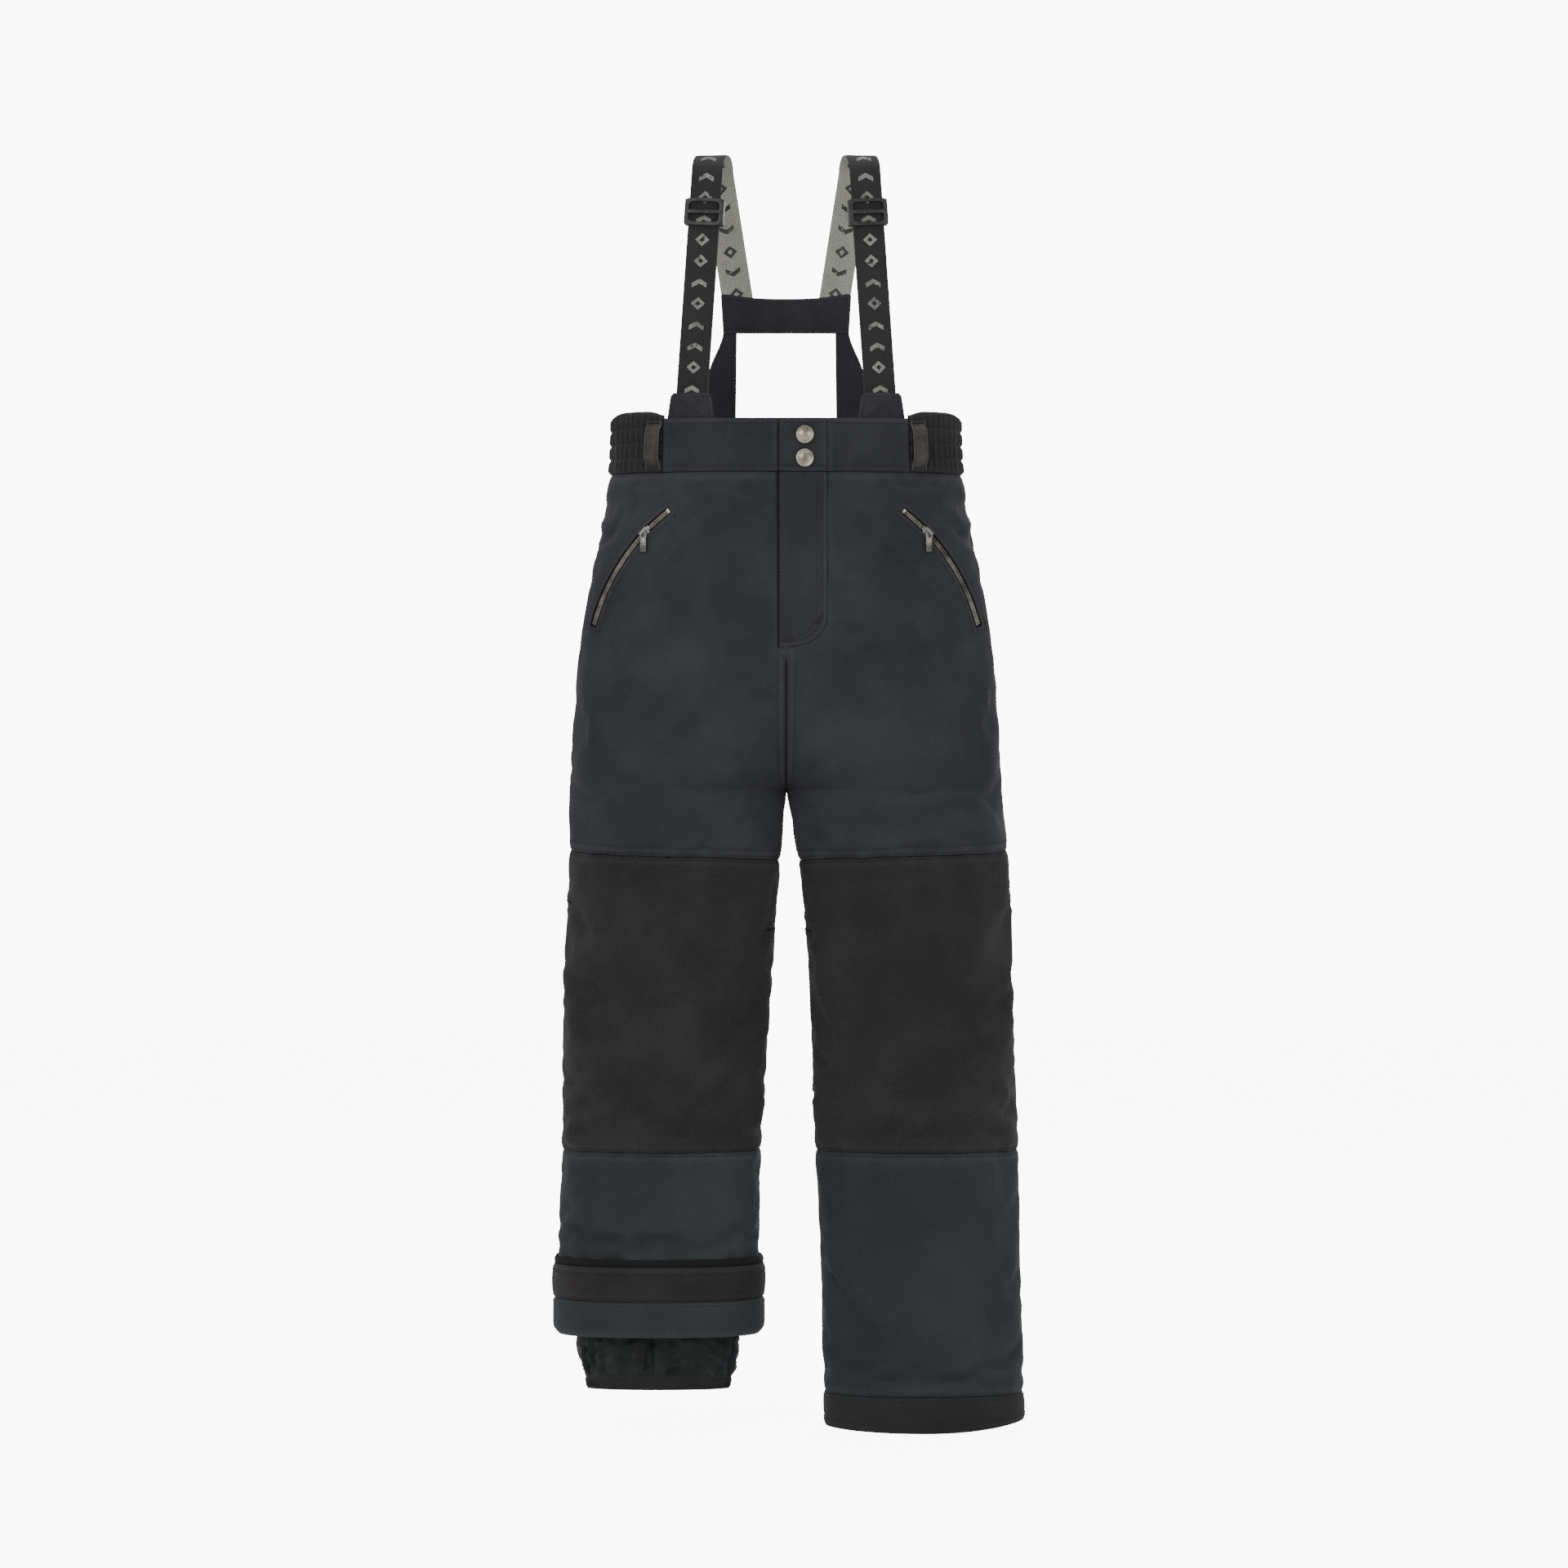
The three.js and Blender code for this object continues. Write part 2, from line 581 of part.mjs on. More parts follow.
// Two identical snaps: caps with their sockets on the tab, studs on the underlap
const capBase = bandProud + snapGap;
const socketTop = tabInner - snapGap;
const capProfile = [
  [0, socketTop - 0.9], [2.9, socketTop - 0.9], [2.9, socketBack], [5.2, socketBack],
  [5.4, socketTop], [snapPostRadius, socketTop], [snapPostRadius, capBase],
  [snapCapRadius, capBase], [snapCapRadius, capBase + 0.7], [snapCapRadius - 1.4, capBase + 1.5],
  [snapCapRadius - 3.6, capBase + 1.9], [0, capBase + 2]];
const studProfile = [
  [0, underlapOuter + snapGap], [5.2, underlapOuter + snapGap], [5.2, underlapOuter + snapGap + 0.8],
  [1.5, underlapOuter + snapGap + 0.8], [1.5, socketBack + 0.8], [2, socketBack + 1.4],
  [1.5, socketTop - 1.6], [0, socketTop - 1.6]];
["upper", "lower"].forEach((place, i) => {
  add(`snap_cap_${place}`, snapLathe(capProfile, snapZs[i]), colours.pewter, 0.35, 0.9);
  add(`snap_stud_${place}`, snapLathe(studProfile, snapZs[i]), colours.pewter, 0.35, 0.9);
});

// The fly zip, straight and behind the flap, leans out with the front. Its pieces are laid out
// from the zip's top end, down local -z, with the cloth's surface at y = 0.
const flyZipX = 4;
const flyZipTopZ = waistSeamZ - 4;
const flyZipEndZ = waistSeamZ - flyLength - 6;
const flyTopDepth = frontDepth("left", flyZipX, flyZipTopZ);
const flyEndDepth = frontDepth("left", flyZipX, flyZipEndZ);
const flyLean = Math.atan2(flyEndDepth - flyTopDepth, flyZipTopZ - flyZipEndZ);
const flyRun = Math.hypot(flyEndDepth - flyTopDepth, flyZipTopZ - flyZipEndZ);
const flyBow = frontDepth("left", flyZipX, (flyZipTopZ + flyZipEndZ) / 2) - (flyTopDepth + flyEndDepth) / 2;
const flyTapeOuter = underlapOuter - 1;
const flyCoilTop = flyTapeOuter + 2;
const flyTapeWidth = 22;

function onFly(geometry) {
  return geometry.rotateX(-flyLean).translate(flyZipX, -flyTopDepth, flyZipTopZ);
}

const flyTapeMid = zipTapeThickness / 2 - flyTapeOuter;
const flyTape = box(flyTapeWidth, zipTapeThickness, flyRun, 0, flyTapeMid, -flyRun / 2);
const flyCoil = box(flyZipWidth, 2.2, flyRun - 4, 0, 1.1 - flyCoilTop, -flyRun / 2);
add("fly_zip", onFly(joined(flyTape, flyCoil)), colours.coil, 0.6);

// The guard behind the zip runs up into the waistband as the underlap that carries the studs.
const guardOuter = flyTapeOuter - zipTapeThickness - 0.7 - flyBow;
const guardInner = guardOuter - 1.6;
const underlapRows = ladder(bandTopZ, waistSeamZ + 1, 2);
const guardRows = ladder(waistSeamZ + 3, waistSeamZ - flyLength - guardLap, 4);
add("fly_guard", joined(
  frontPatch(guardFrom, guardTo, underlapRows, underlapOuter, guardInner, 4),
  frontPatch(guardFrom, guardTo, guardRows, guardOuter, guardInner - 0.01, 4)), colours.lining);

const flySliderDrop = 9;
const flySliderInner = flyZipWidth + 2 * fitGap;
const flySliderRoof = flyCoilTop + 2 * fitGap;
const flySliderTop = flySliderRoof + 1.3;
const flyShoeHeight = flySliderTop - flyTapeOuter - fitGap;
const flyShoe = cut(
  box(flySliderInner + 2 * sliderWall, flyShoeHeight, 10, 0, flyShoeHeight / 2 - flySliderTop),
  box(flySliderInner, flyShoeHeight, 14, 0, flyShoeHeight / 2 - flySliderRoof));
const flyPull = box(5, 1.1, 18, 0, -flySliderTop - 0.5, -6);
add("fly_slider", onFly(joined(flyShoe, flyPull).translate(0, 0, -flySliderDrop)), colours.slider, 0.4, 0.8);

// ---- belt loops ----

function beltLoop(side, turn) {
  const midZ = (bandTopZ + waistSeamZ) / 2;
  const half = waistbandHeight / 2 - loopInset;
  const seat = skin(side, midZ, turn, bandProud);
  const up = skin(side, midZ + half, turn, bandProud).sub(skin(side, midZ - half, turn, bandProud));
  const level = skin(side, midZ, turn, bandProud + 10).sub(seat);
  const across = up.normalize().clone().cross(level).normalize();
  const out = across.clone().cross(up);
  // The loop clears the band's highest point across its own width and height.
  const reachTurn = loopWidth / (waistHalfWidth + waistDepth);
  const heights = [-1, 0, 1].flatMap((along) => [-1, 0, 1].map((sideways) =>
    skin(side, midZ + along * half, turn + sideways * reachTurn, bandProud).sub(seat).dot(out)));
  seat.addScaledVector(out, Math.max(...heights) + fitGap);
  const reach = loopStandoff + loopThickness;
  const foot = 5;
  const outline = new THREE.Shape();
  outline.moveTo(-half, 0);
  outline.lineTo(-half, loopThickness);
  outline.lineTo(foot - half, reach);
  outline.lineTo(half - foot, reach);
  outline.lineTo(half, loopThickness);
  outline.lineTo(half, 0);
  outline.lineTo(half - foot, 0);
  outline.lineTo(half - foot - 1.5, loopStandoff);
  outline.lineTo(foot + 1.5 - half, loopStandoff);
  outline.lineTo(foot - half, 0);
  const strip = new THREE.ExtrudeGeometry(outline, { depth: loopWidth, bevelEnabled: false });
  strip.translate(0, 0, -loopWidth / 2);
  const frame = new THREE.Matrix4().makeBasis(up, out, across.negate());
  return placed(strip, frame.setPosition(seat));
}

const frontLoopTurn = -0.5;
const backLoopTurn = 0.64;
for (const side of sideNames) {
  add(`belt_loop_front_${side}`, beltLoop(side, frontLoopTurn), colours.band);
  add(`belt_loop_back_${side}`, beltLoop(side, backLoopTurn), colours.band);
}

// ---- shoulder straps ----

// A flat strap swept through stations, each with a middle, a width direction and an outward normal.
function ribbon(stations, halfWidth, low, high) {
  return slab(1, stations.length - 1, (u, row, layer) => {
    const { middle, across, out } = stations[row];
    return middle.clone()
      .addScaledVector(across, (2 * u - 1) * halfWidth)
      .addScaledVector(out, layer === 0 ? high : low);
  });
}

const strapBottomZ = bandTopZ - strapTuck;
const strapTurnZ = -shoulderRadius - strapThickness / 2;
const waistSlope = (frontDepth("left", strapWaistX - 14, bandTopZ)
  - frontDepth("left", strapWaistX + 14, bandTopZ)) / 28;
const strapTabOuter = bandInner - fitGap - 0.3;
const strapTabInner = strapTabOuter - 2;
const strapWaistY = -frontDepth("left", strapWaistX, bandTopZ) - strapTabInner + fitGap + strapThickness;
const backTop = sectionAt("left", sideTopZ);
const yokeBackY = superDepth(backTop, riserBottomX[1], backTop.back) + bandInner - fitGap;
const yokeFrontY = yokeBackY - yokeThickness;
const strapYokeY = yokeFrontY - fitGap - strapThickness;
const strapYokeZ = -yokeTopDrop - yokeHeight + 3;

function strapStations(side) {
  const sign = sideSign[side];
  const frontLean = Math.atan2(-strapWaistY - shoulderRadius, strapTurnZ - strapBottomZ);
  const backLean = Math.atan2(strapYokeY - shoulderRadius, strapTurnZ - strapYokeZ);
  const bottom = new THREE.Vector3(sign * strapWaistX, strapWaistY, strapBottomZ);
  const points = [bottom];
  const steps = 10;
  for (let i = 0; i <= steps; i++) {
    const angle = THREE.MathUtils.lerp(Math.PI - frontLean, backLean, i / steps);
    const share = THREE.MathUtils.smoothstep(i / steps, 0, 1);
    const x = THREE.MathUtils.lerp(strapFrontTopX, strapBackTopX, share);
    points.push(new THREE.Vector3(
      sign * x, shoulderRadius * Math.cos(angle), strapTurnZ + shoulderRadius * Math.sin(angle)));
  }
  points.push(new THREE.Vector3(sign * strapYokeX, strapYokeY, strapYokeZ));
  const last = points.length - 1;
  return points.map((middle, i) => {
    const along = points[Math.min(i + 1, last)].clone().sub(points[Math.max(i - 1, 0)]).normalize();
    if (i === 1) along.copy(points[1]).sub(points[0]).normalize();
    if (i === last - 1) along.copy(points[last]).sub(points[last - 1]).normalize();
    const twist = THREE.MathUtils.clamp((i - 1) / steps, 0, 1);
    const across = new THREE.Vector3(1, sign * waistSlope * (1 - twist), 0);
    across.addScaledVector(along, -across.dot(along)).normalize();
    const out = new THREE.Vector3().crossVectors(across, along).normalize();
    return { middle, across, out: out.negate() };
  });
}

for (const side of sideNames) {
  const stations = strapStations(side);
  const outward = stations[1].middle.clone().setZ(0).dot(stations[1].out) > 0 ? 1 : -1;
  stations.forEach((station) => station.out.multiplyScalar(outward));
  const half = strapThickness / 2;
  add(`shoulder_strap_${side}`, ribbon(stations, strapWidth / 2, -half, half), colours.webbing);

  // The straight front stretch carries the doubled layer and the adjuster.
  const [foot, bend] = stations;
  const rise = bend.middle.clone().sub(foot.middle);
  const at = (z) => {
    const share = (z - foot.middle.z) / rise.z;
    return { ...foot, middle: foot.middle.clone().addScaledVector(rise, share), out: bend.out };
  };
  const returnLow = -half - fitGap - strapThickness;
  const doubled = [at(strapBottomZ + 4), at(-adjusterDrop - 2)];
  add(`strap_return_${side}`, ribbon(doubled, strapWidth / 2, returnLow, -half - fitGap), colours.reverse);

  // Adjuster: a flat sleeve with two front windows that leave a centre bar
  const axes = new THREE.Matrix4().makeBasis(foot.across, rise.clone().normalize(), bend.out.clone());
  const hub = at(-adjusterDrop).middle;
  const channelLow = returnLow - fitGap;
  const channelHigh = half + fitGap;
  const channelMid = (channelLow + channelHigh) / 2;
  const channel = channelHigh - channelLow;
  const innerWidth = strapWidth + 2 * fitGap;
  const windowHeight = (adjusterHeight - 4 * adjusterSide) / 2 + 1.2;
  const windowMid = windowHeight / 2 + adjusterSide / 2;
  const frameDepth = channel + 2 * adjusterWall;
  const frame = box(innerWidth + 2 * adjusterSide, adjusterHeight, frameDepth, 0, 0, channelMid);
  const hollow = box(innerWidth, adjusterHeight + 2, channel, 0, 0, channelMid);
  const windows = [-1, 1].map((way) =>
    box(innerWidth - 2, windowHeight, 2 * adjusterWall + 1, 0, way * windowMid, channelHigh + adjusterWall));
  add(`adjuster_${side}`, placed(cut(frame, hollow, ...windows), axes.setPosition(hub)), colours.slider, 0.5);
}

// Anchor tabs: trapezoids rising from inside the waistband, in front of the straps
for (const side of sideNames) {
  const tabRise = 22;
  const tabSink = 12;
  const topHalf = 17;
  const bottomHalf = 22;
  add(`strap_tab_${side}`, slab(4, 1, (u, row, layer) => {
    const half = row === 0 ? topHalf : bottomHalf;
    const x = strapWaistX - 2 + (2 * u - 1) * half;
    const depth = frontDepth(side, x, bandTopZ) + (layer === 0 ? strapTabOuter : strapTabInner);
    return new THREE.Vector3(sideSign[side] * x, -depth, row === 0 ? bandTopZ + tabRise : bandTopZ - tabSink);
  }), colours.yoke);
}

// ---- back yoke ----

const yokeTopZ = -yokeTopDrop;
const yokeBottomZ = yokeTopZ - yokeHeight;
const yokeY = yokeFrontY + yokeThickness / 2;
const yokeMidZ = (yokeTopZ + yokeBottomZ) / 2;
add("back_crossbar", box(2 * yokeHalfWidth, yokeThickness, yokeHeight, 0, yokeY, yokeMidZ),
  colours.yoke);

for (const side of sideNames) {
  const riserSink = 14;
  const topZ = yokeBottomZ - fitGap;
  const bottomZ = sideTopZ - riserSink;
  add(`back_riser_${side}`, slab(1, 1, (u, row, layer) => {
    const [inner, outer] = row === 0 ? riserTopX : riserBottomX;
    const x = THREE.MathUtils.lerp(inner, outer, u);
    const y = yokeFrontY + (layer === 0 ? yokeThickness : 0);
    return new THREE.Vector3(sideSign[side] * x, y, row === 0 ? topZ : bottomZ);
  }), colours.yoke);
}

export default pants;
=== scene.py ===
import math

import bmesh
import bpy
import numpy as np
from mathutils import Matrix, Vector


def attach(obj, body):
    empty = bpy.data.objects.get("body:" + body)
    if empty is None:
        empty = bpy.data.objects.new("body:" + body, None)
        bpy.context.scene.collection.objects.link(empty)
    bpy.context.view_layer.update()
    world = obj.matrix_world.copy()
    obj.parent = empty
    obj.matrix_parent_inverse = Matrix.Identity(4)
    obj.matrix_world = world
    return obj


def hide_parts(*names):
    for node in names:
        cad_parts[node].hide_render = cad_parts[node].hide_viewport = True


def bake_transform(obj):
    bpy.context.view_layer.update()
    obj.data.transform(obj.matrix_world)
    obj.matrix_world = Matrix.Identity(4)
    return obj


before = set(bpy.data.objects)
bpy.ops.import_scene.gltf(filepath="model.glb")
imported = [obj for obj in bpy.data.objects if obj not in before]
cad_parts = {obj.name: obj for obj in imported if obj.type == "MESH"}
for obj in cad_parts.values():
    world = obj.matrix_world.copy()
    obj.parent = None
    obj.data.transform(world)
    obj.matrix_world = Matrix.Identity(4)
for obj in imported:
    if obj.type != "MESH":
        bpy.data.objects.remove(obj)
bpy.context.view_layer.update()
print("frame loaded")

# All lengths below are in millimetres. Left is the wearer's left, at +x, and the front faces -y.
body = {
    "power": 2.4, "shell": 3.0, "gap": 0.5, "cell": 4.2,
    "sideTop": -224.5, "bandTop": -231.0, "waistSeam": -277.0, "forkTop": -457.0, "crotch": -547.0,
    "kneeTop": -604.0, "kneeBottom": -858.0, "hemTop": -1068.0, "hem": -1099.0,
    "rolledEnd": -1015.0, "cuffTop": -958.0, "flyEnd": -427.0,
}
sideSign = {"left": 1.0, "right": -1.0}

# Height, outer and inner half-widths, front and back depths
sharedRows = [
    (-224.5, 149.5, 0, 50, 50), (-277, 152, 0, 52, 53), (-412, 177, 0, 57, 63), (-479.5, 183, 0, 56, 66)]
legRows = {
    "left": [(-547, 187, 0.3, 53, 62), (-604, 192, 10, 51, 57), (-713.22, 195, 19.5, 49, 51),
             (-858, 200.5, 25, 47, 48), (-963, 202.5, 30, 46, 47), (-1099, 205.5, 33.5, 46, 46)],
    "right": [(-547, 187, 0.3, 53, 62), (-604, 187, 4.5, 51, 57), (-713.22, 192, 12.5, 49, 51),
              (-858, 193.5, 21.5, 47, 48), (-936.5, 196, 23, 46, 47), (-1015, 197, 23.5, 45, 46)],
}


def smooth(x):
    x = np.clip(x, 0.0, 1.0)
    return x * x * (3 - 2 * x)


def noise(u, v, seed):
    u, v = np.broadcast_arrays(np.asarray(u, float), np.asarray(v, float))
    lattice = np.random.RandomState(seed).rand(64, 64)
    iu, iv = np.floor(u).astype(int), np.floor(v).astype(int)
    fu, fv = smooth(u - iu), smooth(v - iv)
    low = lattice[iu % 64, iv % 64] * (1 - fu) + lattice[(iu + 1) % 64, iv % 64] * fu
    high = lattice[iu % 64, (iv + 1) % 64] * (1 - fu) + lattice[(iu + 1) % 64, (iv + 1) % 64] * fu
    return 2 * (low * (1 - fv) + high * fv) - 1


# A soft bump of height 1 and the given width
def bell(x, width):
    return np.exp(-(x / width) ** 2)


def between(a, b, share):
    return a * (1 - share) + b * share


# The same height all the way round
def flat(value):
    return lambda turn: np.full(np.shape(turn), float(value))


# Length along a path, at each of its points
def pathRun(points):
    return np.concatenate([[0], np.cumsum(np.linalg.norm(np.diff(points, axis=0), axis=1))])


# The body's surface

def profileTable(side):
    rows = np.array(sharedRows + legRows[side], float)
    marks, values = -rows[:, 0], rows[:, 1:]
    depths = np.arange(marks[0], marks[-1] + 0.25, 0.5)
    table = []
    for d in depths:
        i = min(max(int(np.searchsorted(marks, d, side="right")), 1), len(marks) - 1)
        t0, t1 = marks[i - 1], marks[i]
        before, tBefore = (i, t1) if i == 1 else (i - 2, marks[i - 2])
        after, tAfter = (i - 1, t0) if i == len(marks) - 1 else (i + 1, marks[i + 1])
        half = (t1 - t0) / 2
        wb, wa = half / (t0 - tBefore), half / (tAfter - t1)
        p = (d - t0) / (t1 - t0)
        p2, p3 = p * p, p * p * p
        table.append((-wb * p3 + 2 * wb * p2 - wb * p) * values[before]
                     + ((1 + wb) * p3 + (-1.5 - 2 * wb) * p2 + (wb - 0.5) * p + 1) * values[i - 1]
                     + ((-1 - wa) * p3 + (1.5 + wa) * p2 + 0.5 * p) * values[i]
                     + (wa * p3 - wa * p2) * values[after])
    return depths, np.array(table)


profiles = {side: profileTable(side) for side in sideSign}


def sectionAt(side, z):
    level = np.minimum(z, body["sideTop"])
    depths, table = profiles[side]
    outer, inner, front, back = (np.interp(-level, depths, table[:, k]) for k in range(4))
    share = np.clip((body["forkTop"] - level) / 90.0, 0, 1)
    reach = np.where(level > body["crotch"], outer * (share - 1) / (share + 1), inner)
    return {"centre": (outer + reach) / 2, "half": (outer - reach) / 2, "reach": reach,
            "front": front, "back": back}


def superDepth(section, x, depth):
    share = np.minimum(np.abs((x - section["centre"]) / section["half"]), 1)
    return depth * (1 - share ** body["power"]) ** (1 / body["power"])


pocket = {
    "topX": 102.0, "topZ": -311.0, "run": 63.6, "fall": 95.6, "radius": 178.0, "inset": 1.5,
    "tapeWidth": 14.0, "slot": 6.4, "restDistance": 27.0,
}
topSection = sectionAt("left", pocket["topZ"])
endSection = sectionAt("left", pocket["topZ"] - pocket["fall"])
pocketTopDepth = float(superDepth(topSection, pocket["topX"], topSection["front"]))
pocketEndDepth = float(superDepth(endSection, pocket["topX"] + pocket["run"], endSection["front"]))
pocketSlope = (pocketTopDepth - pocketEndDepth) / pocket["run"]
pocketTilt = math.atan(pocketSlope)


def facetDepth(x, z):
    fade = 0.25 * np.maximum(np.maximum(body["forkTop"] - z, z - pocket["topZ"] - pocket["tapeWidth"]), 0)
    return pocketTopDepth - pocket["inset"] - pocketSlope * (x - pocket["topX"]) + fade


def frontDepth(side, x, z):
    section = sectionAt(side, z)
    plain = superDepth(section, x, section["front"])
    facet = facetDepth(x, z)
    overlap = np.maximum(pocket["inset"] - np.abs(plain - facet), 0) / pocket["inset"]
    soft = np.minimum(plain, facet) - overlap * overlap * pocket["inset"] / 4
    return np.where((z < body["sideTop"]) & (z > body["kneeTop"]), soft, plain)


def outlinePoint(section, side, z, angle, face):
    c = np.cos(angle)
    power = 2 / body["power"]
    x = section["centre"] + section["half"] * np.sign(c) * np.abs(c) ** power
    lift = np.abs(np.sin(angle)) ** power
    if face < 0:
        return x, -np.minimum(section["front"] * lift, frontDepth(side, x, z))
    return x, section["back"] * lift


# turn runs from 0 at the side seam to 1 at the centre or inseam, on the front (-1) or back (1).
def skin(side, z, turn, face, offset=0.0, gap=0.0):
    z, turn, offset = np.broadcast_arrays(np.asarray(z, float), turn, offset)
    section = sectionAt(side, z)
    depth = section["front"] if face < 0 else section["back"]
    start = np.arcsin((gap / 2 / depth) ** (body["power"] / 2))
    split = (section["centre"] - gap / 2) / section["half"]
    atCentre = np.arccos(-np.sign(split) * np.minimum(np.abs(split), 1) ** (body["power"] / 2))
    end = np.where(section["reach"] < gap / 2, np.minimum(atCentre, math.pi - start), math.pi - start)
    angle = start + (end - start) * turn
    hereX, hereY = outlinePoint(section, side, z, angle, face)
    aheadX, aheadY = outlinePoint(section, side, z, np.minimum(angle + 0.012, math.pi), face)
    behindX, behindY = outlinePoint(section, side, z, np.maximum(angle - 0.012, 0), face)
    alongX, alongY = aheadX - behindX, aheadY - behindY
    length = np.maximum(np.hypot(alongX, alongY), 1e-9)
    x = np.maximum(hereX + face * alongY / length * offset, gap / 2)
    y = np.maximum(face * hereY - alongX / length * offset, gap / 2)
    return np.stack([sideSign[side] * x, face * y, z], axis=-1)


# A point of the front at a signed x, moved out along the surface's level normal.
def patchPoint(x, z, offset):
    def depthAt(at):
        return np.where(at < 0, frontDepth("right", np.abs(at), z), frontDepth("left", np.abs(at), z))
    slope = (depthAt(x + 0.5) - depthAt(x - 0.5))
    length = np.hypot(slope, 1.0)
    return np.stack([x - slope / length * offset, -depthAt(x) - offset / length, z], axis=-1)


def evenTurns(side, z, face, first, last, count):
    fine = np.linspace(first, last, 500)
    line = skin(side, z, fine, face)
    run = pathRun(line)
    return np.interp(np.linspace(0, run[-1], count), run, fine)


# Shader groups and materials

def nodeGroup(name, inputs, outputs):
    tree = bpy.data.node_groups.new(name, "ShaderNodeTree")
    for label, kind, value in inputs:
        socket = tree.interface.new_socket(label, in_out="INPUT", socket_type="NodeSocket" + kind)
        if value is not None:
            socket.default_value = value
    for label, kind in outputs:
        tree.interface.new_socket(label, in_out="OUTPUT", socket_type="NodeSocket" + kind)
    return tree, tree.nodes.new("NodeGroupInput").outputs, tree.nodes.new("NodeGroupOutput").inputs


# Wires a socket into another, or sets it when the source is a plain value.
def wire(tree, source, target):
    if hasattr(source, "is_output"):
        tree.links.new(source, target)
    else:
        target.default_value = source


def mathNode(tree, operation, *values):
    node = tree.nodes.new("ShaderNodeMath")
    node.operation = operation
    for value, socket in zip(values, node.inputs):
        wire(tree, value, socket)
    return node.outputs[0]


def times(tree, a, b):
    return mathNode(tree, "MULTIPLY", a, b)


def plus(tree, a, b):
    return mathNode(tree, "ADD", a, b)


def minus(tree, a, b):
    return mathNode(tree, "SUBTRACT", a, b)


def scaled(tree, colour, amount):
    node = tree.nodes.new("ShaderNodeVectorMath")
    node.operation = "SCALE"
    wire(tree, colour, node.inputs[0])
    wire(tree, amount, node.inputs["Scale"])
    return node.outputs[0]


def noiseNode(tree, vector, scale, detail=2.0, roughness=0.5):
    node = tree.nodes.new("ShaderNodeTexNoise")
    wire(tree, vector, node.inputs["Vector"])
    for label, value in (("Scale", scale), ("Detail", detail), ("Roughness", roughness)):
        wire(tree, value, node.inputs[label])
    return node.outputs["Fac"]


def mixColour(tree, factor, a, b):
    node = tree.nodes.new("ShaderNodeMix")
    node.data_type = "RGBA"
    for label, value in (("Factor_Float", factor), ("A_Color", a), ("B_Color", b)):
        wire(tree, value, next(s for s in node.inputs if s.identifier == label))
    return next(s for s in node.outputs if s.identifier == "Result_Color")


# Height for the bump, and Shade for the colour: lighter where the warp lies on top, a two-tone weave, and lighter
# on thread crowns, darker in the valleys between threads, painted highlight and shade
def buildWeave():
    tree, given, result = nodeGroup("woven threads", [
        ("Vector", "Vector", None), ("Threads", "Float", 1500.0), ("Stretch", "Float", 1.0)],
        [("Height", "Float"), ("Shade", "Float")])
    split = tree.nodes.new("ShaderNodeSeparateXYZ")
    wire(tree, given["Vector"], split.inputs[0])
    u = times(tree, split.outputs[0], given["Threads"])
    v = times(tree, split.outputs[1], times(tree, given["Threads"], given["Stretch"]))
    cells = plus(tree, mathNode(tree, "FLOOR", u), mathNode(tree, "FLOOR", v))
    over = times(tree, mathNode(tree, "FRACT", times(tree, cells, 0.5)), 2.0)
    warp = mathNode(tree, "SINE", times(tree, mathNode(tree, "FRACT", u), math.pi))
    weft = mathNode(tree, "SINE", times(tree, mathNode(tree, "FRACT", v), math.pi))
    height = plus(tree, times(tree, warp, over), times(tree, weft, minus(tree, 1.0, over)))
    wire(tree, height, result["Height"])
    wire(tree, mathNode(tree, "MULTIPLY_ADD", over, 0.4, times(tree, height, 0.6)), result["Shade"])
    return tree


def buildTone():
    tree, given, result = nodeGroup("mottled tone", [
        ("Vector", "Vector", None), ("Base", "Color", None), ("Tint", "Color", None),
        ("Patch Scale", "Float", 14.0), ("Speck Scale", "Float", 420.0), ("Speck", "Float", 0.5)],
        [("Color", "Color"), ("Value", "Float")])
    patches = noiseNode(tree, given["Vector"], given["Patch Scale"], 3.0, 0.6)
    specks = noiseNode(tree, given["Vector"], given["Speck Scale"], 1.0)
    ramp = tree.nodes.new("ShaderNodeMapRange")
    wire(tree, patches, ramp.inputs[0])
    ramp.inputs[1].default_value, ramp.inputs[2].default_value = 0.35, 0.68
    fleck = times(tree, minus(tree, specks, 0.5), given["Speck"])
    share = plus(tree, ramp.outputs[0], fleck)
    share = mathNode(tree, "MINIMUM", mathNode(tree, "MAXIMUM", share, 0.0), 1.0)
    wire(tree, mixColour(tree, share, given["Base"], given["Tint"]), result["Color"])
    wire(tree, share, result["Value"])
    return tree


def buildWear():
    tree, given, result = nodeGroup("edge wear and dust", [
        ("Vector", "Vector", None), ("Edge", "Float", 0.0), ("Wear", "Float", 0.5), ("Dust", "Float", 0.1)],
        [("Worn", "Float"), ("Dusty", "Float")])
    broken = noiseNode(tree, given["Vector"], 260.0, 3.0, 0.6)
    worn = times(tree, times(tree, given["Edge"], broken), given["Wear"])
    dust = noiseNode(tree, given["Vector"], 1900.0, 1.0)
    motes = mathNode(tree, "GREATER_THAN", dust, 0.71)
    lint = noiseNode(tree, given["Vector"], 24.0, 1.0)
    wire(tree, worn, result["Worn"])
    wire(tree, times(tree, times(tree, motes, lint), given["Dust"]), result["Dusty"])
    return tree


weaveTree, toneTree, wearTree = buildWeave(), buildTone(), buildWear()


def linear(red, green, blue):
    def one(c):
        c /= 255
        return c / 12.92 if c <= 0.04045 else ((c + 0.055) / 1.055) ** 2.4
    return one(red), one(green), one(blue), 1.0


def placeGroup(tree, group, vector, **values):
    node = tree.nodes.new("ShaderNodeGroup")
    node.node_tree = group
    wire(tree, vector, node.inputs["Vector"])
    for label, value in values.items():
        wire(tree, value, node.inputs[label.replace("_", " ")])
    return node


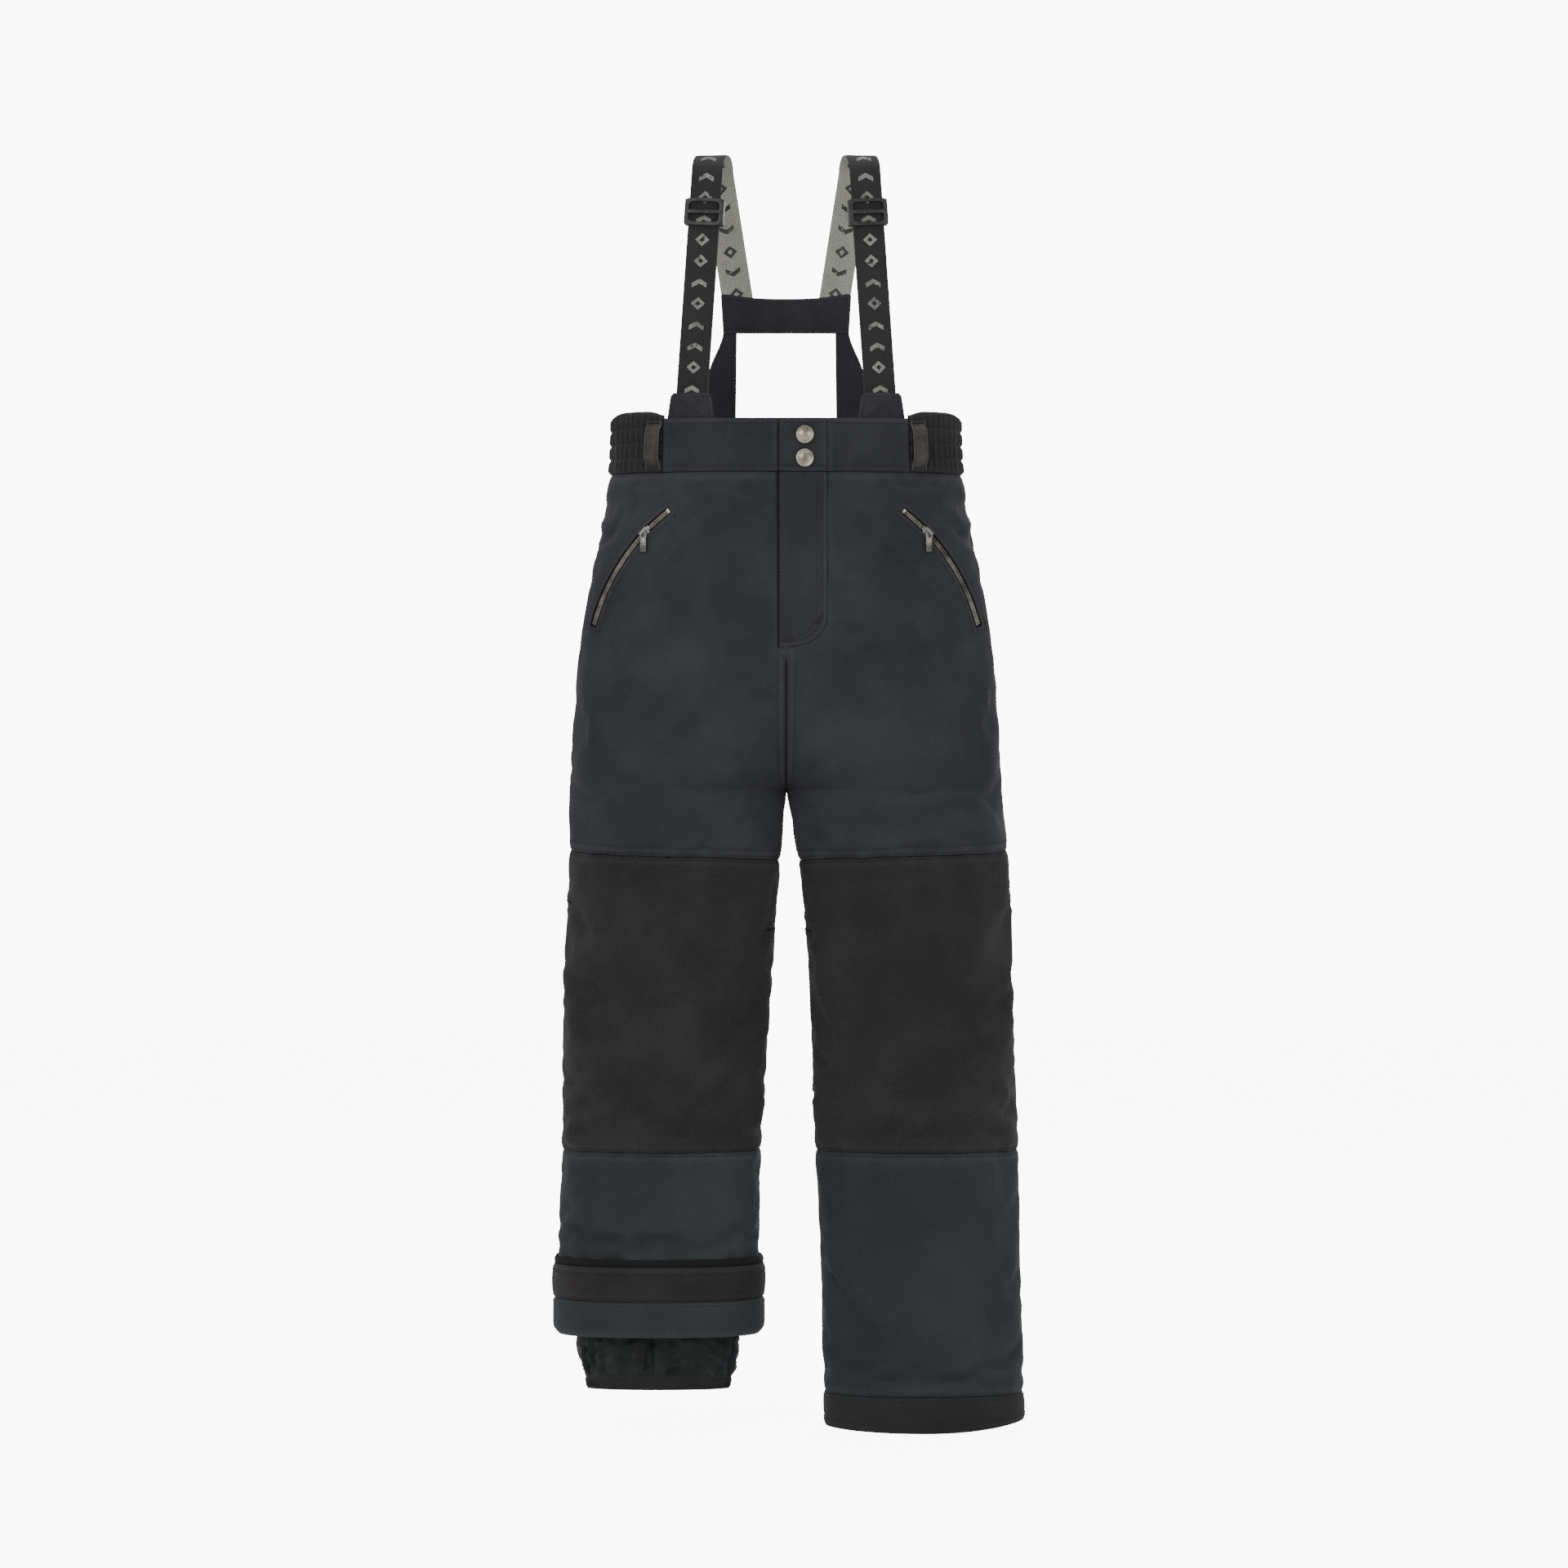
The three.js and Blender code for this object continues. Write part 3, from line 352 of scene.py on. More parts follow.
def startMaterial(name, roughness, metallic=0.0, sheen=0.0):
    made = bpy.data.materials.new(name)
    made.use_nodes = True
    tree = made.node_tree
    shader = tree.nodes["Principled BSDF"]
    gloss = 0.3 if metallic < 0.5 else 0.5
    for label, value in (("Roughness", roughness), ("Metallic", metallic), ("Sheen Weight", sheen),
                         ("Sheen Roughness", 0.45), ("Specular IOR Level", gloss)):
        shader.inputs[label].default_value = value
    return made, tree, shader


def bumpInto(tree, shader, height, strength, distance):
    bump = tree.nodes.new("ShaderNodeBump")
    for label, value in (("Strength", strength), ("Distance", distance), ("Height", height)):
        wire(tree, value, bump.inputs[label])
    wire(tree, bump.outputs[0], shader.inputs["Normal"])


def clothMaterial(name, base, tint, threads=1250.0, stretch=1.0, roughness=0.85, sheen=0.05, speck=0.7,
                  patch=12.0, bump=0.5, wear=0.5, crinkle=0.0, crinkleScale=60.0, dust=0.06):
    made, tree, shader = startMaterial(name, roughness, 0.0, sheen)
    coordinates = tree.nodes.new("ShaderNodeTexCoord")
    uv, place = coordinates.outputs["UV"], coordinates.outputs["Object"]
    tone = placeGroup(tree, toneTree, place, Base=linear(*base), Tint=linear(*tint), Patch_Scale=patch,
                      Speck=speck)
    threadsNode = placeGroup(tree, weaveTree, uv, Threads=threads, Stretch=stretch)
    edge = tree.nodes.new("ShaderNodeAttribute")
    edge.attribute_name = "edge"
    worn = placeGroup(tree, wearTree, place, Edge=edge.outputs["Fac"], Wear=wear, Dust=dust)
    # Colour scaled by the weave's Shade, which paints highlight on thread crowns and shade in the valleys between
    # them
    shade = mathNode(tree, "MULTIPLY_ADD", threadsNode.outputs["Shade"], 0.5, 0.7)
    shaded = scaled(tree, tone.outputs["Color"], shade)
    pale = tuple(2.2 * c + 0.004 for c in linear(*tint)[:3]) + (1.0,)
    rubbed = mixColour(tree, worn.outputs["Worn"], shaded, pale)
    wire(tree, mixColour(tree, worn.outputs["Dusty"], rubbed, (0.16, 0.155, 0.15, 1)),
         shader.inputs["Base Color"])
    wire(tree, mathNode(tree, "MULTIPLY_ADD", tone.outputs["Value"], -0.12, roughness + 0.06),
         shader.inputs["Roughness"])
    height = times(tree, threadsNode.outputs["Height"], bump)
    if crinkle:
        creases = noiseNode(tree, place, crinkleScale, 4.0, 0.62)
        height = mathNode(tree, "MULTIPLY_ADD", creases, crinkle, height)
    bumpInto(tree, shader, height, 0.7, 0.0004)
    return made


def hardMaterial(name, base, tint, roughness, metallic, grain=220.0, bump=0.2, wear=0.6, speck=0.5):
    made, tree, shader = startMaterial(name, roughness, metallic)
    place = tree.nodes.new("ShaderNodeTexCoord").outputs["Object"]
    tone = placeGroup(tree, toneTree, place, Base=linear(*base), Tint=linear(*tint), Patch_Scale=90.0,
                      Speck_Scale=900.0, Speck=speck)
    worn = placeGroup(tree, wearTree, place, Edge=tone.outputs["Value"], Wear=wear, Dust=0.05)
    pale = tuple(min(1.0, 1.5 * c + 0.03) for c in linear(*tint)[:3]) + (1.0,)
    wire(tree, mixColour(tree, worn.outputs["Worn"], tone.outputs["Color"], pale), shader.inputs["Base Color"])
    grainField = noiseNode(tree, place, grain, 3.0)
    wire(tree, mathNode(tree, "MULTIPLY_ADD", grainField, 0.22, roughness - 0.11), shader.inputs["Roughness"])
    bumpInto(tree, shader, noiseNode(tree, place, 4 * grain, 2.0), bump, 0.0002)
    return made


# Ribbed webbing with a row of chevrons and hollow diamonds printed along it.
def webbingMaterial(name, ground, mark, markTint, seed):
    made, tree, shader = startMaterial(name, 0.72, 0.0, 0.1)
    coordinates = tree.nodes.new("ShaderNodeTexCoord")
    split = tree.nodes.new("ShaderNodeSeparateXYZ")
    wire(tree, coordinates.outputs["UV"], split.inputs[0])
    across = mathNode(tree, "ABSOLUTE", times(tree, split.outputs[0], 1000.0))
    lap = plus(tree, times(tree, split.outputs[1], 1000 / 18.5), seed)
    place = mathNode(tree, "FRACT", lap)
    kind = mathNode(tree, "FRACT", times(tree, mathNode(tree, "FLOOR", lap), 0.381966))
    slanted = plus(tree, place, times(tree, across, 0.03))
    chevron = mathNode(tree, "LESS_THAN", mathNode(tree, "ABSOLUTE", minus(tree, slanted, 0.5)), 0.11)
    centred = times(tree, mathNode(tree, "ABSOLUTE", minus(tree, place, 0.45)), 18.5)
    diamond = mathNode(tree, "LESS_THAN", plus(tree, centred, times(tree, across, 0.9)), 5.6)
    hollow = mathNode(tree, "GREATER_THAN", plus(tree, centred, across), 2.4)
    diamond = times(tree, diamond, hollow)
    pickChevron = mathNode(tree, "GREATER_THAN", kind, 0.45)
    shape = plus(tree, times(tree, chevron, pickChevron), times(tree, diamond, minus(tree, 1.0, pickChevron)))
    inside = mathNode(tree, "LESS_THAN", across, 6.4)
    rubbed = mathNode(tree, "GREATER_THAN", noiseNode(tree, coordinates.outputs["Object"], 420.0, 3.0), 0.36)
    mask = times(tree, times(tree, shape, inside), rubbed)
    printed = placeGroup(tree, toneTree, coordinates.outputs["Object"], Base=linear(*mark),
                         Tint=linear(*markTint), Patch_Scale=60.0, Speck=0.9)
    plain = placeGroup(tree, toneTree, coordinates.outputs["Object"], Base=linear(*ground),
                       Tint=linear(*[min(255, c + 9) for c in ground]), Patch_Scale=40.0, Speck=0.8)
    ribs = placeGroup(tree, weaveTree, coordinates.outputs["UV"], Threads=560.0, Stretch=1.6)
    colour = mixColour(tree, mask, plain.outputs["Color"], printed.outputs["Color"])
    # Colour scaled by the ribs' Shade: painted highlight on the ribs and painted shade between them
    shade = mathNode(tree, "MULTIPLY_ADD", ribs.outputs["Shade"], 0.6, 0.62)
    wire(tree, scaled(tree, colour, shade), shader.inputs["Base Color"])
    bumpInto(tree, shader, ribs.outputs["Height"], 0.9, 0.0006)
    return made


shellCloth = clothMaterial("shell cloth", (29, 30, 35), (35, 36, 41))
kneeCloth = clothMaterial("knee patch cloth", (27, 26, 27), (33, 32, 33), threads=900.0, roughness=0.92,
                          sheen=0.05, speck=1.0, patch=16.0, bump=0.8)
shinCloth = clothMaterial("lower leg cloth", (28, 32, 35), (34, 39, 42), patch=9.0)
hemCloth = clothMaterial("hem band cloth", (25, 25, 26), (31, 31, 32), threads=900.0, roughness=0.9)
bandCloth = clothMaterial("waistband cloth", (26, 27, 31), (31, 32, 36), patch=20.0)
elasticCloth = clothMaterial("gathered elastic cloth", (22, 21, 23), (29, 28, 29), patch=26.0, crinkle=0.8)
loopCloth = clothMaterial("belt loop cloth", (42, 40, 37), (60, 57, 53), threads=800.0, bump=0.9, patch=60.0)
facingCloth = clothMaterial("cuff facing cloth", (25, 23, 24), (32, 29, 29), threads=900.0, roughness=0.9)
liningCloth = clothMaterial("lining cloth", (20, 21, 23), (28, 29, 32), threads=2100.0, roughness=0.6,
                            sheen=0.03, crinkle=0.7, crinkleScale=90.0, dust=0.03)
gaiterCloth = clothMaterial("gaiter nylon", (7, 10, 12), (17, 23, 25), threads=2300.0, roughness=0.36,
                            sheen=0.03, crinkle=1.6, crinkleScale=75.0, patch=45.0, dust=0.02)
yokeCloth = clothMaterial("yoke cloth", (29, 29, 34), (35, 35, 40), patch=22.0)
# Near-black thread: painted shade for the shadow gaps along seams, darts and the cuff's top edge
paintedShadeThread = clothMaterial("painted shade thread", (7, 7, 8), (11, 11, 12), threads=3000.0, roughness=0.9,
                            sheen=0.0, wear=0.0, dust=0.0)
threadDark = clothMaterial("seam thread", (19, 19, 22), (30, 31, 34), threads=3000.0, roughness=0.6, wear=0.0)
zipTapeCloth = clothMaterial("zip tape cloth", (17, 17, 19), (25, 25, 27), threads=1700.0, stretch=0.5, bump=1.0)
webbingFace = webbingMaterial("webbing face", (14, 14, 14), (92, 92, 89), (132, 132, 127), 0.0)
webbingBack = webbingMaterial("webbing reverse", (142, 142, 133), (48, 48, 46), (66, 66, 63), 0.37)
coilPlastic = hardMaterial("zip coil", (84, 81, 74), (140, 136, 126), 0.38, 0.35, bump=0.1)
zipMetal = hardMaterial("slider metal", (66, 66, 64), (112, 111, 107), 0.34, 0.9)
snapMetal = hardMaterial("snap metal", (96, 92, 82), (150, 145, 134), 0.3, 1.0, grain=500.0)
adjusterPlastic = hardMaterial("adjuster plastic", (15, 16, 17), (27, 28, 29), 0.42, 0.0, grain=700.0, bump=0.5)
print("materials ready")


# Meshes

def finishMesh(mesh, material, sharp=50):
    mesh.materials.clear()
    mesh.materials.append(material)
    mesh.shade_smooth()
    mesh.set_sharp_from_angle(angle=math.radians(sharp))


def addObject(name, data):
    made = bpy.data.objects.new(name, data)
    bpy.context.scene.collection.objects.link(made)
    return made


def makeObject(name, mesh, material, sharp=50):
    finishMesh(mesh, material, sharp)
    return addObject(name, mesh)


# The mesh that a piece's modifiers give
def evaluatedMesh(piece):
    bpy.context.view_layer.update()
    graph = bpy.context.evaluated_depsgraph_get()
    return bpy.data.meshes.new_from_object(piece.evaluated_get(graph))


# A closed sheet from an outer and an inner grid of points; a ring joins its last column to its first.
def slab(name, outer, inner, material, uv, edge=None, ring=False):
    rows, cols = outer.shape[:2]
    wide = cols + 1 if ring else cols
    grid = np.arange(2 * rows * wide).reshape(2, rows, wide)
    layer, row, col = np.unravel_index(np.arange(2 * rows * wide), (2, rows, wide))
    actual = layer * rows * cols + row * cols + col % cols
    points = np.concatenate([outer.reshape(-1, 3), inner.reshape(-1, 3)]) / 1000
    a, b = grid
    quads = [np.stack([a[:-1, :-1], a[:-1, 1:], a[1:, 1:], a[1:, :-1]], -1),
             np.stack([b[:-1, :-1], b[1:, :-1], b[1:, 1:], b[:-1, 1:]], -1),
             np.stack([b[0, :-1], b[0, 1:], a[0, 1:], a[0, :-1]], -1),
             np.stack([a[-1, :-1], a[-1, 1:], b[-1, 1:], b[-1, :-1]], -1)]
    if not ring:
        quads.append(np.stack([a[:-1, 0], a[1:, 0], b[1:, 0], b[:-1, 0]], -1))
        quads.append(np.stack([b[:-1, -1], b[1:, -1], a[1:, -1], a[:-1, -1]], -1))
    quads = np.concatenate([q.reshape(-1, 4) for q in quads])
    corner = points[actual[quads]]
    volume = np.einsum("ij,ij->i", corner[:, 0], np.cross(corner[:, 1], corner[:, 2])).sum() \
        + np.einsum("ij,ij->i", corner[:, 0], np.cross(corner[:, 2], corner[:, 3])).sum()
    if volume < 0:
        quads = quads[:, ::-1]
    mesh = bpy.data.meshes.new(name)
    mesh.from_pydata(points.tolist(), [], actual[quads].tolist())
    if ring:
        closing = 2 * uv[:, -1:] - uv[:, -2:-1]
        uv = np.concatenate([uv, closing], axis=1)
    places = np.concatenate([uv.reshape(-1, 2)] * 2) / 1000
    mesh.uv_layers.new(name="UVMap").data.foreach_set("uv", places[quads.reshape(-1)].ravel())
    values = np.zeros((rows, cols)) if edge is None else edge
    attribute = mesh.attributes.new("edge", "FLOAT", "POINT")
    attribute.data.foreach_set("value", np.concatenate([values.ravel(), values.ravel()]))
    mesh.update()
    return makeObject(name, mesh, material)


def gridNormals(points):
    across = np.gradient(points, axis=1)
    down = np.gradient(points, axis=0)
    normal = np.cross(across, down)
    return normal / np.maximum(np.linalg.norm(normal, axis=2, keepdims=True), 1e-9)


# A grid with its normals turned towards a direction
def turnedTo(grid, direction):
    normal = gridNormals(grid)
    return {"outer": grid, "normal": normal * (np.sign((normal @ np.array(direction)).mean()) or 1.0)}


def sampleGrid(grid, row, col):
    row = np.clip(row, 0, grid.shape[0] - 1.001)
    col = np.clip(col, 0, grid.shape[1] - 1.001)
    r, c = row.astype(int), col.astype(int)
    fr, fc = (row - r)[:, None], (col - c)[:, None]
    return ((grid[r, c] * (1 - fc) + grid[r, c + 1] * fc) * (1 - fr)
            + (grid[r + 1, c] * (1 - fc) + grid[r + 1, c + 1] * fc) * fr)


# Puts several closed meshes into one object.
def joinMeshes(name, meshes, material, sharp=40):
    merged = bmesh.new()
    for mesh in meshes:
        merged.from_mesh(mesh)
        bpy.data.meshes.remove(mesh)
    mesh = bpy.data.meshes.new(name)
    merged.to_mesh(mesh)
    merged.free()
    return makeObject(name, mesh, material, sharp)


def moved(place, x, y, z):
    return place @ Matrix.Translation((x, y, z))


# A box in millimetres with rounded edges, placed by a matrix that is in millimetres too.
def softBox(size, radius, matrix, segments=3):
    shape = bmesh.new()
    bmesh.ops.create_cube(shape, size=1.0)
    bmesh.ops.scale(shape, vec=Vector(size), verts=shape.verts)
    bmesh.ops.bevel(shape, geom=shape.edges[:], offset=radius, segments=segments, profile=0.5, affect="EDGES")
    return placeShape(shape, matrix)


def placeShape(shape, matrix):
    shape.transform(matrix)
    shape.transform(Matrix.Scale(0.001, 4))
    bmesh.ops.recalc_face_normals(shape, faces=shape.faces[:])
    mesh = bpy.data.meshes.new("part")
    shape.to_mesh(mesh)
    shape.free()
    return mesh


def superLoop(width, height, power, count):
    angle = np.linspace(0, 2 * math.pi, count, endpoint=False)
    return np.stack([half * np.sign(t) * np.abs(t) ** (2 / power)
                     for half, t in ((width / 2, np.cos(angle)), (height / 2, np.sin(angle)))], -1)


# A plate between two outlines of equal count, from one height to another, with rounded edges.
def ringPlate(outer, inner, low, high, radius, matrix):
    shape = bmesh.new()
    count = len(outer)
    loops = [[shape.verts.new((*point, level)) for point in outline]
             for level in (low, high) for outline in (outer, inner)]
    lowOuter, lowInner, highOuter, highInner = loops
    for i in range(count):
        j = (i + 1) % count
        shape.faces.new((highOuter[i], highOuter[j], highInner[j], highInner[i]))
        shape.faces.new((lowOuter[j], lowOuter[i], lowInner[i], lowInner[j]))
        shape.faces.new((lowOuter[i], lowOuter[j], highOuter[j], highOuter[i]))
        shape.faces.new((lowInner[j], lowInner[i], highInner[i], highInner[j]))
    shape.edges.ensure_lookup_table()
    loopSets = [set(loop) for loop in loops]
    rims = [e for e in shape.edges if any(e.verts[0] in s and e.verts[1] in s for s in loopSets)]
    bmesh.ops.recalc_face_normals(shape, faces=shape.faces[:])
    bmesh.ops.bevel(shape, geom=rims, offset=radius, segments=2, profile=0.5, affect="EDGES")
    return placeShape(shape, matrix)


# Turns radius and height pairs about the local z axis into a closed shape.
def lathe(profile, matrix, segments=40):
    shape = bmesh.new()
    points = [shape.verts.new((r, 0, h)) for r, h in profile]
    edges = [shape.edges.new(pair) for pair in zip(points, points[1:])]
    bmesh.ops.spin(shape, geom=points + edges, axis=(0, 0, 1), cent=(0, 0, 0), steps=segments,
                   angle=2 * math.pi, use_duplicate=False)
    bmesh.ops.remove_doubles(shape, verts=shape.verts[:], dist=1e-4)
    return placeShape(shape, matrix)


def cutAway(piece, cutters, operation="DIFFERENCE"):
    for cutter in cutters:
        modifier = piece.modifiers.new("cut", "BOOLEAN")
        modifier.operation = operation
        modifier.solver = "EXACT"
        modifier.object = cutter
    mesh = evaluatedMesh(piece)
    old, material = piece.data, piece.data.materials[0]
    piece.modifiers.clear()
    piece.data = mesh
    bpy.data.meshes.remove(old)
    finishMesh(mesh, material)


# A closed prism over a flat outline, used only to cut others.
def prismObject(name, outline, low, high, matrix):
    shape = bmesh.new()
    count = len(outline)
    bottom = [shape.verts.new((*point, low)) for point in outline]
    top = [shape.verts.new((*point, high)) for point in outline]
    shape.faces.new(bottom[::-1])
    shape.faces.new(top)
    for i in range(count):
        j = (i + 1) % count
        shape.faces.new((bottom[i], bottom[j], top[j], top[i]))
    return addObject(name, placeShape(shape, matrix))


def discard(*objects):
    for item in objects:
        mesh = item.data
        bpy.data.objects.remove(item)
        bpy.data.meshes.remove(mesh)


# What repeats along a path

# Places a small shape along each path, turned to the path and to the surface's facing.
def buildRunTree(name, shapeNode, shapeValues):
    tree = bpy.data.node_groups.new(name, "GeometryNodeTree")
    face = tree.interface
    face.new_socket("Geometry", in_out="INPUT", socket_type="NodeSocketGeometry")
    for label, kind, value in (("Pitch", "Float", 0.003), ("Length", "Float", 0.002), ("Width", "Float", 0.0006),
                               ("Height", "Float", 0.0005), ("Turn", "Float", 0.0), ("Uneven", "Float", 0.05)):
        face.new_socket(label, in_out="INPUT", socket_type="NodeSocket" + kind).default_value = value
    face.new_socket("Material", in_out="INPUT", socket_type="NodeSocketMaterial")
    face.new_socket("Geometry", in_out="OUTPUT", socket_type="NodeSocketGeometry")
    add = tree.nodes.new
    given, result = add("NodeGroupInput"), add("NodeGroupOutput")
    curve, spaced = add("GeometryNodeMeshToCurve"), add("GeometryNodeResampleCurve")
    placed = add("GeometryNodeInstanceOnPoints")
    spaced.mode = "LENGTH"
    for source, target in ((given.outputs["Geometry"], curve.inputs["Mesh"]),
                           (curve.outputs[0], spaced.inputs["Curve"]),
                           (given.outputs["Pitch"], spaced.inputs["Length"]),
                           (spaced.outputs[0], placed.inputs["Points"])):
        wire(tree, source, target)
    facing = add("GeometryNodeInputNamedAttribute")
    facing.data_type = "FLOAT_VECTOR"
    facing.inputs["Name"].default_value = "facing"
    up, along = add("FunctionNodeAlignRotationToVector"), add("FunctionNodeAlignRotationToVector")
    up.axis, along.axis, along.pivot_axis = "Z", "X", "Z"
    wire(tree, facing.outputs["Attribute"], up.inputs["Vector"])
    wire(tree, up.outputs[0], along.inputs["Rotation"])
    wire(tree, add("GeometryNodeInputTangent").outputs[0], along.inputs["Vector"])
    twist, turned = add("FunctionNodeAxisAngleToRotation"), add("FunctionNodeRotateRotation")
    twist.inputs["Axis"].default_value = (0, 0, 1)
    turned.rotation_space = "LOCAL"
    jitter = add("FunctionNodeRandomValue")
    jitter.data_type = "FLOAT"
    floats = [s for s in jitter.inputs if s.enabled and s.type == "VALUE"]
    floats[0].default_value, floats[1].default_value = -1.0, 1.0
    next(s for s in jitter.inputs if s.name == "Seed" and s.enabled).default_value = 5
    angle = mathNode(tree, "MULTIPLY_ADD", next(s for s in jitter.outputs if s.enabled),
                     given.outputs["Uneven"], given.outputs["Turn"])
    wire(tree, angle, twist.inputs["Angle"])
    wire(tree, along.outputs[0], turned.inputs["Rotation"])
    wire(tree, twist.outputs[0], turned.inputs["Rotate By"])
    wire(tree, turned.outputs[0], placed.inputs["Rotation"])
    shape = add(shapeNode)
    for label, value in shapeValues.items():
        shape.inputs[label].default_value = value
    stretch = add("ShaderNodeCombineXYZ")
    for label, socket in (("Length", 0), ("Width", 1), ("Height", 2)):
        wire(tree, given.outputs[label], stretch.inputs[socket])
    wire(tree, shape.outputs["Mesh"], placed.inputs["Instance"])
    wire(tree, stretch.outputs[0], placed.inputs["Scale"])
    real, coloured = add("GeometryNodeRealizeInstances"), add("GeometryNodeSetMaterial")
    smoothed = add("GeometryNodeSetShadeSmooth")
    wire(tree, placed.outputs[0], smoothed.inputs["Geometry"])
    wire(tree, smoothed.outputs[0], real.inputs["Geometry"])
    wire(tree, real.outputs[0], coloured.inputs["Geometry"])
    wire(tree, given.outputs["Material"], coloured.inputs["Material"])
    wire(tree, coloured.outputs[0], result.inputs["Geometry"])
    return tree


stitchTree = buildRunTree("stitch run", "GeometryNodeMeshUVSphere", {"Segments": 6, "Rings": 4, "Radius": 0.5})
toothTree = buildRunTree("zip tooth run", "GeometryNodeMeshUVSphere", {"Segments": 6, "Rings": 5, "Radius": 0.5})
# Stitch size for the lines of painted shade
shadeLineStitch = {"Pitch": 0.0022, "Length": 0.0027, "Width": 0.0017, "Height": 0.0009, "Turn": 0.0, "Uneven": 0.02}
stitch = {"Pitch": 0.0034, "Length": 0.0029, "Width": 0.00075, "Height": 0.0006, "Turn": 0.0, "Uneven": 0.06}


# paths is a list of pairs: points and facings, each an array in millimetres.
def makeRun(name, paths, tree, settings, material):
    points = np.concatenate([p for p, _ in paths]) / 1000
    facings = np.concatenate([f for _, f in paths])
    links, start = [], 0
    for path, _ in paths:
        links += [(start + i, start + i + 1) for i in range(len(path) - 1)]
        start += len(path)
    mesh = bpy.data.meshes.new(name)
    mesh.from_pydata(points.tolist(), links, [])
    attribute = mesh.attributes.new("facing", "FLOAT_VECTOR", "POINT")
    attribute.data.foreach_set("vector", facings.ravel())
    made = addObject(name, mesh)
    modifier = made.modifiers.new("run", "NODES")
    modifier.node_group = tree
    values = dict(settings, Material=material)
    for item in tree.interface.items_tree:
        if item.in_out == "INPUT" and item.name in values:
            modifier[item.identifier] = values[item.name]
    plain = evaluatedMesh(made)
    made.modifiers.clear()
    made.data = plain
    bpy.data.meshes.remove(mesh)
    return made


# Which body part each piece goes with


# Parents a piece to its body part's empty, or for the hip, knee and flap pieces only bakes its transform into its
# mesh.
def bendWith(piece, kind, side=None):
    if kind in ("hip", "knee"):
        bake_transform(piece)
    elif kind == "shin":
        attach(piece, f"shin_{side}")
    elif kind == "flap":
        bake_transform(piece)
    else:
        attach(piece, kind)


# Pocket and fly outlines

pocketU = pocket["run"] / math.cos(pocketTilt)
pocketChord = math.hypot(pocketU, pocket["fall"])
pocketSag = math.sqrt(pocket["radius"] ** 2 - (pocketChord / 2) ** 2)
arcX = pocketU / 2 - pocketSag * pocket["fall"] / pocketChord
arcY = -pocket["fall"] / 2 - pocketSag * pocketU / pocketChord
arcStart = math.atan2(-arcY, -arcX)
arcEnd = math.atan2(-pocket["fall"] - arcY, pocketU - arcX)
pocketOriginY = -float(facetDepth(pocket["topX"], pocket["topZ"]))
fly = {"edge": -7.0, "hinge": 35.0, "length": 150.0, "curve": 28.0}


def pocketMatrix(side):
    sign, c, s = sideSign[side], math.cos(pocketTilt), math.sin(pocketTilt)
    return Matrix(((sign * c, 0, sign * s, sign * pocket["topX"]), (s, 0, -c, pocketOriginY),
                   (0, 1, 0, pocket["topZ"]), (0, 0, 0, 1)))


def onPocket(side, u, v, n):
    m = np.array(pocketMatrix(side))
    return np.stack([u, v, n, np.ones_like(u)], -1) @ m.T[:, :3]


def arcPoint(offset, angle):
    r = pocket["radius"] + offset
    return arcX + r * np.cos(angle), arcY + r * np.sin(angle)


# Points of the zip's arc moved outwards by an offset, from the lower end to the top.
def pocketArc(offset, count=60, swing=0.0):
    return arcPoint(offset, np.linspace(arcEnd - swing, arcStart + swing, count))


# Distance in the facet's plane from the zip's line, and how far along it a point lies.
def pocketDistance(base):
    u = (np.abs(base[..., 0]) - pocket["topX"]) * math.cos(pocketTilt) \
        + (base[..., 1] - pocketOriginY) * math.sin(pocketTilt)
    v = base[..., 2] - pocket["topZ"]
    angle = np.arctan2(v - arcY, u - arcX)
    near = np.clip(angle, arcEnd, arcStart)
    nearU, nearV = arcPoint(0.0, near)
    return np.hypot(u - nearU, v - nearV)


def flyOutline(grow, top=20.0, steps=14):
    left, right = fly["edge"] - grow, fly["hinge"] + grow
    bottom = body["waistSeam"] - fly["length"] - grow
    high = bottom + fly["curve"]
    t = np.linspace(0, 1, steps)
    curve = np.stack([(1 - t) ** 2 * left + 2 * t * (1 - t) * right + t ** 2 * right,
                      (1 - t) ** 2 * bottom + 2 * t * (1 - t) * bottom + t ** 2 * high], -1)
    return np.concatenate([[[left, body["bandTop"] + top]], curve, [[right, body["bandTop"] + top]]])


def flyCutter(name, grow):
    through = Matrix(((1, 0, 0, 0), (0, 0, 1, 0), (0, 1, 0, 0), (0, 0, 0, 1)))
    return prismObject(name, flyOutline(grow).tolist(), -110, 0, through)


def flyDistance(x, z):
    outline = flyOutline(0.0, steps=24)[1:-1]
    walls = np.concatenate([
        np.stack([np.full(40, fly["edge"]), np.linspace(body["waistSeam"], outline[0][1], 40)], -1), outline,
        np.stack([np.full(32, fly["hinge"]), np.linspace(outline[-1][1], body["waistSeam"], 32)], -1)])
    best = np.full(np.shape(x), 1e9)
    for (x0, z0), (x1, z1) in zip(walls, walls[1:]):
        length = max((x1 - x0) ** 2 + (z1 - z0) ** 2, 1e-9)
        t = np.clip(((x - x0) * (x1 - x0) + (z - z0) * (z1 - z0)) / length, 0, 1)
        best = np.minimum(best, np.hypot(x - x0 - t * (x1 - x0), z - z0 - t * (z1 - z0)))
    return best


# The hang of the cloth

drape = {"cell": 8.4, "columns": 24, "frames": 24, "cap": 5.0, "growth": 0.045, "pressure": 0.35,
         "hold": 0.10, "seamHold": 0.7}


def kneeEdge(turn):
    return body["kneeTop"] + 4 - 9 * turn


